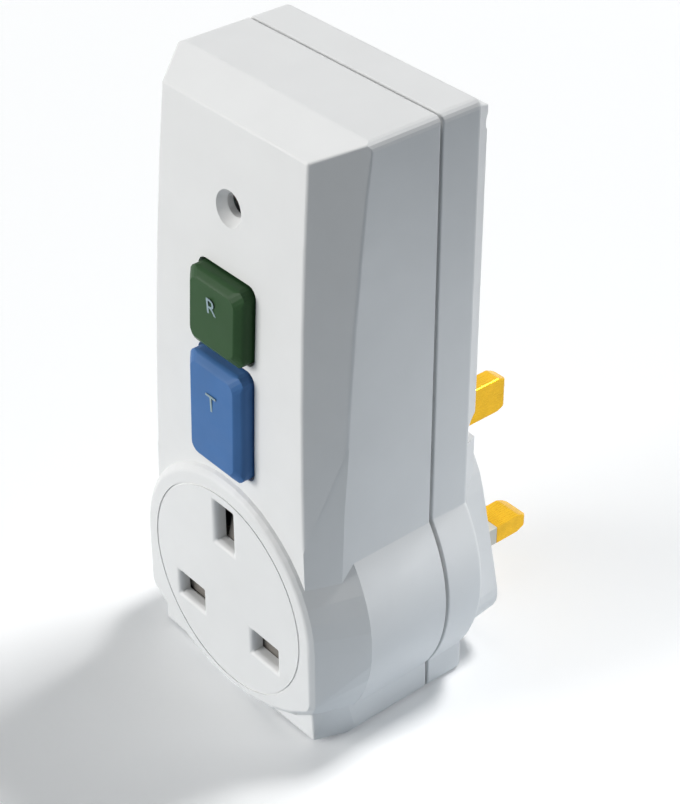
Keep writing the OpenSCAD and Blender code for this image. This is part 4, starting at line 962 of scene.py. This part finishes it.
@dataclass
class Screws:
    """Cross-head screws, grown on their places; shares are of the head's radius."""

    finish: MetalFinish = MetalFinish("zinc plate", (0.66, 0.67, 0.69), roughness=0.32, line_mm=0.3)
    node: str = "case_screws"
    name: str = "case_screw_set"
    head_mm: float = 1.8
    crown_mm: float = 0.35
    recess_mm: float = 1.0
    shank_share: float = 0.55
    recess_width_share: float = 0.24
    recess_length_share: float = 1.15
    crown_top_share: float = 0.82
    head_sides: int = 40
    shank_sides: int = 24

    def build(self) -> None:
        """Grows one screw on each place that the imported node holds."""
        material = self.finish.make()
        boxes = solid_boxes(self.node)
        seeds = [((low.x + high.x) / 2, high.y, (low.z + high.z) / 2) for low, high in boxes]
        low, high = boxes[0]
        head_r = (high.x - low.x) / 2
        grown = GrownTree("cross_head_screw", {
            "Head radius": head_r,
            "Head height": self.head_mm * MM,
            "Shank radius": head_r * self.shank_share,
            "Length": high.y - low.y,
            "Recess width": head_r * self.recess_width_share,
            "Recess length": head_r * self.recess_length_share,
            "Recess depth": self.recess_mm * MM,
            "Crown": self.crown_mm * MM,
        })
        mesh = grown.grow(self.name, seeds, self.tree(grown), material)
        place_piece(new_piece(self.name, mesh), material, self.node)

    def tree(self, grown: GrownTree) -> bpy.types.NodeSocket:
        """Draws one screw, pointing its head along +Y, and sets copies of it on the seeds.

        Args:
            grown: The tree to draw in.

        Returns:
            The socket of the instances.
        """
        rim = grown.add("ShaderNodeMath", {"operation": "SUBTRACT"}, "Head height", "Crown")
        drop = grown.add("ShaderNodeMath", {"operation": "ADD"}, "Head height", "Crown")
        head = grown.add("GeometryNodeMeshCylinder", Vertices=self.head_sides,
                         Radius="Head radius", Depth=rim.outputs[0])
        crown = grown.add("GeometryNodeMeshCone", Vertices=self.head_sides,
                          Radius_Bottom="Head radius", Depth="Crown",
                          Radius_Top=grown.times("Head radius", self.crown_top_share))
        shank = grown.add("GeometryNodeMeshCylinder", Vertices=self.shank_sides,
                          Radius="Shank radius", Depth="Length")
        cutters = grown.add("GeometryNodeJoinGeometry")
        for sides in (("Recess length", "Recess width"), ("Recess width", "Recess length")):
            size = grown.vector(*sides, grown.times("Recess depth", 2.0))
            bar = grown.add("GeometryNodeMeshCube", Size=size)
            grown.tree.links.new(bar.outputs["Mesh"], cutters.inputs[0])
        solid = grown.add("GeometryNodeMeshBoolean", {"operation": "UNION"})
        for part in (grown.lower(head, drop.outputs[0], -0.5), grown.lower(crown, "Crown", -1.0),
                     grown.lower(shank, "Length", -0.5)):
            grown.tree.links.new(part.outputs[0], solid.inputs["Mesh 2"])
        cut = grown.add("GeometryNodeMeshBoolean", {"operation": "DIFFERENCE"},
                        Mesh_1=solid.outputs["Mesh"], Mesh_2=cutters.outputs[0])
        return grown.on_seeds(cut.outputs["Mesh"], ALONG_Y)


@dataclass(frozen=True)
class Coil:
    """One node's springs: the joint that squeezes them, their axis and the end that stays."""

    node: str
    joint: str
    axis: Axis
    travel_mm: float
    fixed_high: bool
    curls: int


@dataclass
class Springs:
    """Wire springs, grown as round coils on their nodes' bodies."""

    finish: MetalFinish = MetalFinish("spring wire", (0.72, 0.72, 0.74), roughness=0.22,
                                      along=Axis.Z)
    wire_mm: float = 0.3
    wire_sides: int = 10
    curl_steps: int = 28
    smooth_deg: float = 60.0
    coils: tuple[Coil, ...] = (
        Coil("reset_spring", "reset_press", Axis.Y, 2.9, True, 6),
        Coil("shutter_springs", "shutter_slide", Axis.Z, 6.0, False, 4),
        Coil("plunger_spring", "trip_pull", Axis.Z, 1.6, True, 4),
    )

    def build(self) -> None:
        """Grows each node's coils and sets them on the node's body."""
        material = self.finish.make()
        wire = self.wire_mm * MM
        for coil in self.coils:
            boxes = solid_boxes(coil.node)
            low, high = boxes[0]
            axis = Vector(coil.axis.value)
            length = (high - low).dot(axis)
            across = (high - low) - axis * length
            seeds = [((a + b) / 2 - axis * (b - a).dot(axis) / 2 + axis * wire)[:]
                     for a, b in boxes]
            grown = GrownTree(f"{coil.node}_coil", {
                "Radius": max(across) / 2 - wire, "Height": length - 2 * wire,
                "Curls": float(coil.curls), "Wire": wire})
            name = f"{coil.node}_wire"
            mesh = grown.grow(name, seeds, self.tree(grown, coil.axis), material)
            piece = new_piece(name, mesh, self.smooth_deg)
            place_piece(piece, material, coil.node)
            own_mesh(piece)

    def tree(self, grown: GrownTree, axis: Axis) -> bpy.types.NodeSocket:
        """Draws one coil from its seat along an axis and sets copies of it on the seeds.

        Args:
            grown: The tree to draw in.
            axis: The coil's axis.

        Returns:
            The socket of the instances.
        """
        spiral = grown.add("GeometryNodeCurveSpiral", Resolution=self.curl_steps, Rotations="Curls",
                           Start_Radius="Radius", End_Radius="Radius", Height="Height")
        section = grown.add("GeometryNodeCurvePrimitiveCircle", Resolution=self.wire_sides,
                            Radius="Wire")
        wire = grown.add("GeometryNodeCurveToMesh", Curve=spiral.outputs[0],
                         Profile_Curve=section.outputs[0], Fill_Caps=True)
        return grown.on_seeds(wire.outputs[0], ALONG_Y if axis is Axis.Y else (0.0, 0.0, 0.0))


@dataclass
class SocketWorks:
    """Shutter and spring contacts behind the socket plate."""

    # Painted shade: the shutter's dark brown-grey is the tone of the shade inside the slots, not the
    # colour of its pale moulding
    painted_shade_blind: MouldedFinish = MouldedFinish("shutter painted shade", (0.17, 0.155, 0.14), roughness=0.5,
                                         mottle=0.05)
    brass: MetalFinish = MetalFinish("contact strip", (0.80, 0.58, 0.24), roughness=0.33,
                                     along=Axis.Z)
    blind_edge: EdgeSoftening = EdgeSoftening(0.15, segments=2, merge_mm=0.01)
    clip_edge: EdgeSoftening = EdgeSoftening(0.1, segments=2, merge_mm=0.01)

    def build(self) -> None:
        """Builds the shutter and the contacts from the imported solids."""
        place_piece(softened("socket_shutter", "shutter_blind", self.blind_edge),
                    self.painted_shade_blind.make(), "socket_shutter")
        brass = self.brass.make()
        for side in ("line", "neutral", "earth"):
            node = f"{side}_socket_contact"
            place_piece(softened(node, f"{side}_clip", self.clip_edge), brass, node)


@dataclass
class TestContact:
    """Leaf that bends under the test button."""

    brass: MetalFinish = MetalFinish("leaf brass", (0.80, 0.60, 0.26), roughness=0.3, along=Axis.X)
    steps: int = 24
    tip_share: float = 0.1
    tip_width: float = 0.8
    root_mm: float = 3.0

    def build(self) -> None:
        """Builds the leaf as a fine strip, cut in steps along its length and narrowed at the tip."""
        low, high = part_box("test_leaf")
        bm = bmesh.new()
        bmesh.ops.create_cube(bm, size=1.0)
        span = high - low
        for vert in bm.verts:
            vert.co = Vector([low[k] + (vert.co[k] + 0.5) * span[k] for k in range(3)])
        for step in range(1, self.steps):
            bmesh.ops.bisect_plane(bm, geom=bm.verts[:] + bm.edges[:] + bm.faces[:],
                                   plane_co=(low.x + span.x * step / self.steps, 0.0, 0.0),
                                   plane_no=Axis.X.value)
        for vert in bm.verts:
            if vert.co.x > high.x - span.x * self.tip_share:
                middle = low.z + span.z / 2
                vert.co.z = middle + (vert.co.z - middle) * self.tip_width
        bmesh.ops.recalc_face_normals(bm, faces=bm.faces)
        mesh = bpy.data.meshes.new("test_leaf_strip")
        bm.to_mesh(mesh)
        bm.free()
        piece = new_piece("test_leaf_strip", mesh)
        piece.data.materials.append(self.brass.make())
        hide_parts("test_leaf")
        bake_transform(piece)
        LOG.info("piece %s bends with the test button", piece.name)


@dataclass
class Indicator:
    """Lens, flag and coloured marker behind the front hole."""

    lens: ClearFinish = ClearFinish("clear lens", (0.93, 0.94, 0.96))
    flag: MouldedFinish = MouldedFinish("flag grey", (0.19, 0.21, 0.26), roughness=0.45)
    marker: MouldedFinish = MouldedFinish("flag red", (0.55, 0.03, 0.02), roughness=0.5)
    edge: EdgeSoftening = EdgeSoftening(0.12, segments=2, merge_mm=0.01)
    marker_edge: EdgeSoftening = EdgeSoftening(0.05, segments=1, merge_mm=0.01)

    def build(self) -> None:
        """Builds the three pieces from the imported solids."""
        rows: tuple[tuple[str, str, EdgeSoftening, Finish], ...] = (
            ("indicator_lens", "lens_disc", self.edge, self.lens),
            ("indicator_flag", "flag_blade", self.edge, self.flag),
            ("flag_marker", "flag_patch", self.marker_edge, self.marker),
        )
        for node, name, edge, finish in rows:
            place_piece(softened(node, name, edge), finish.make(), node)


@dataclass
class InnerWorks:
    """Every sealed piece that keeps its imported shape, with the finish of its material slot."""

    finishes: dict[str, Finish] = field(default_factory=lambda: {
        "screw_steel": MetalFinish("small screw steel", (0.62, 0.63, 0.65)),
        "contact_brass": MetalFinish("strip brass", (0.78, 0.58, 0.25), along=Axis.Z),
        "magnet_steel": MetalFinish("magnet steel", (0.55, 0.56, 0.58), along=Axis.X),
        "dark_moulding": MouldedFinish("dark moulding", (0.045, 0.045, 0.05), roughness=0.5),
        "pale_moulding": MouldedFinish("inner pale moulding", (0.72, 0.69, 0.60)),
        "grey_moulding": MouldedFinish("grey moulding", (0.26, 0.29, 0.32)),
        "board": BoardFinish("board mask", (0.03, 0.17, 0.08)),
        "copper_wire": WoundFinish("copper turns", (0.72, 0.36, 0.16)),
        "core": MetalFinish("core strip", (0.22, 0.22, 0.23), roughness=0.45, along=Axis.X),
        "line_insulation": MouldedFinish("brown insulation", (0.20, 0.08, 0.04), grain_mm=0.6),
        "neutral_insulation": MouldedFinish("blue insulation", (0.04, 0.13, 0.42), grain_mm=0.6),
        "capacitor_sleeve": MouldedFinish("capacitor sleeve", (0.03, 0.035, 0.10), roughness=0.3),
        "varistor_coat": MouldedFinish("varistor coat", (0.70, 0.30, 0.04), roughness=0.35,
                                       grain_mm=0.8),
        "resistor_coat": MouldedFinish("resistor coat", (0.66, 0.52, 0.34), roughness=0.4),
    })

    def build(self) -> None:
        """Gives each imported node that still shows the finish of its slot."""
        made: dict[str, bpy.types.Material] = {}
        for node, thing in frame["nodes"].items():
            if thing.hide_render:
                continue
            slot = SLOT_OF[node]
            if slot not in made:
                made[slot] = self.finishes[slot].make()
            if not thing.data.materials:
                thing.data.materials.append(None)
            for row in thing.material_slots:
                row.link = "OBJECT"
                row.material = made[slot]
            LOG.info("node %s keeps its shape", node)


@dataclass(frozen=True)
class Lamp:
    """A square soft light aimed at the part; level 1 shows a white face square to it as white."""

    name: str
    place: Triple
    size: float
    level: float
    colour: Colour = (1.0, 1.0, 1.0)


@dataclass
class Studio:
    """Floor, lights, sky and camera."""

    aim: Triple = (0.0, -0.02, 0.04)
    floor_half: float = 4.0
    sky: float = 0.10
    sky_tint: Colour = (0.72, 0.87, 1.0)
    eye: Triple = (0.23551, -0.21692, 0.25492)
    down_deg: float = 33.72
    round_deg: float = 49.63
    focal_px: float = 2040.72
    centre_px: tuple[float, float] = (349.22, 347.85)
    image_px: tuple[float, float] = (680.0, 804.0)
    sensor_mm: float = 36.0
    nearest: float = 0.01
    lamps: tuple[Lamp, ...] = (
        Lamp("front softbox", (-1.48, -2.56, 0.75), 1.8, 1.03, (1.0, 0.99, 0.97)),
        Lamp("top softbox", (0.08, 1.39, 2.69), 0.60, 0.68),
        Lamp("side card", (0.125, 0.026, 0.022), 0.05, 0.22, (0.93, 0.965, 1.0)),
    )

    def build(self) -> None:
        """Builds the stage."""
        self.floor()
        for lamp in self.lamps:
            self.light(lamp)
        self.backdrop()
        self.camera()

    def floor(self) -> None:
        """Lays the floor under the part's lowest point."""
        level = CAD_BOX[0][2]
        half = self.floor_half
        corners = [(-half, -half, level), (half, -half, level), (half, half, level),
                   (-half, half, level)]
        mesh = bpy.data.meshes.new("floor")
        mesh.from_pydata(corners, [], [(0, 1, 2, 3)])
        mesh.materials.append(FloorFinish("pale floor").make())
        thing = bpy.data.objects.new("floor", mesh)
        bpy.context.scene.collection.objects.link(thing)

    def light(self, lamp: Lamp) -> None:
        """Hangs one lamp.

        Args:
            lamp: Its place, size, level and colour.
        """
        data = bpy.data.lights.new(lamp.name, "AREA")
        way = Vector(self.aim) - Vector(lamp.place)
        data.size = lamp.size
        data.energy = lamp.level * math.pi ** 2 * way.length_squared
        data.color = lamp.colour
        thing = bpy.data.objects.new(lamp.name, data)
        thing.location = lamp.place
        thing.rotation_euler = way.to_track_quat("-Z", "Y").to_euler()
        thing.visible_camera = False
        bpy.context.scene.collection.objects.link(thing)

    def backdrop(self) -> None:
        """Sets an even cool sky, which the camera, mirrors and glass see as white."""
        world = bpy.data.worlds.new("studio sky")
        world.use_nodes = True
        sky = NodeBuilder(world.node_tree)
        fill = sky.tree.nodes["Background"]
        fill.inputs["Color"].default_value = (*self.sky_tint, 1.0)
        fill.inputs["Strength"].default_value = self.sky
        white = sky.add("ShaderNodeBackground", Color=WHITE, Strength=1.0)
        both = sky.add("ShaderNodeMixShader", None, sky.seen(), fill.outputs[0], white.outputs[0])
        sky.feed(sky.tree.nodes["World Output"].inputs["Surface"], both.outputs[0])
        bpy.context.scene.world = world

    def camera(self) -> None:
        """Sets the camera at the photograph's angle."""
        data = bpy.data.cameras.new("studio camera")
        width, height = self.image_px
        long_side = max(width, height)
        data.sensor_fit = "AUTO"
        data.sensor_width = self.sensor_mm
        data.lens = self.focal_px * self.sensor_mm / long_side
        data.shift_x = -(self.centre_px[0] - width / 2) / long_side
        data.shift_y = (self.centre_px[1] - height / 2) / long_side
        data.clip_start = self.nearest
        thing = bpy.data.objects.new("studio camera", data)
        thing.location = self.eye
        thing.rotation_euler = (math.radians(90.0 - self.down_deg), 0.0,
                                math.radians(self.round_deg))
        bpy.context.scene.collection.objects.link(thing)
        bpy.context.scene.camera = thing


def main() -> None:
    """Builds the stage and every sub-assembly."""
    logging.basicConfig(level=logging.INFO, format="%(name)s: %(message)s")
    bpy.context.scene.view_settings.view_transform = "Standard"
    for part in (Studio(), Shells(), Buttons(), PlugPins(), Screws(), Springs(), SocketWorks(),
                 TestContact(), Indicator(), InnerWorks()):
        part.build()


if __name__ == "__main__":
    main()
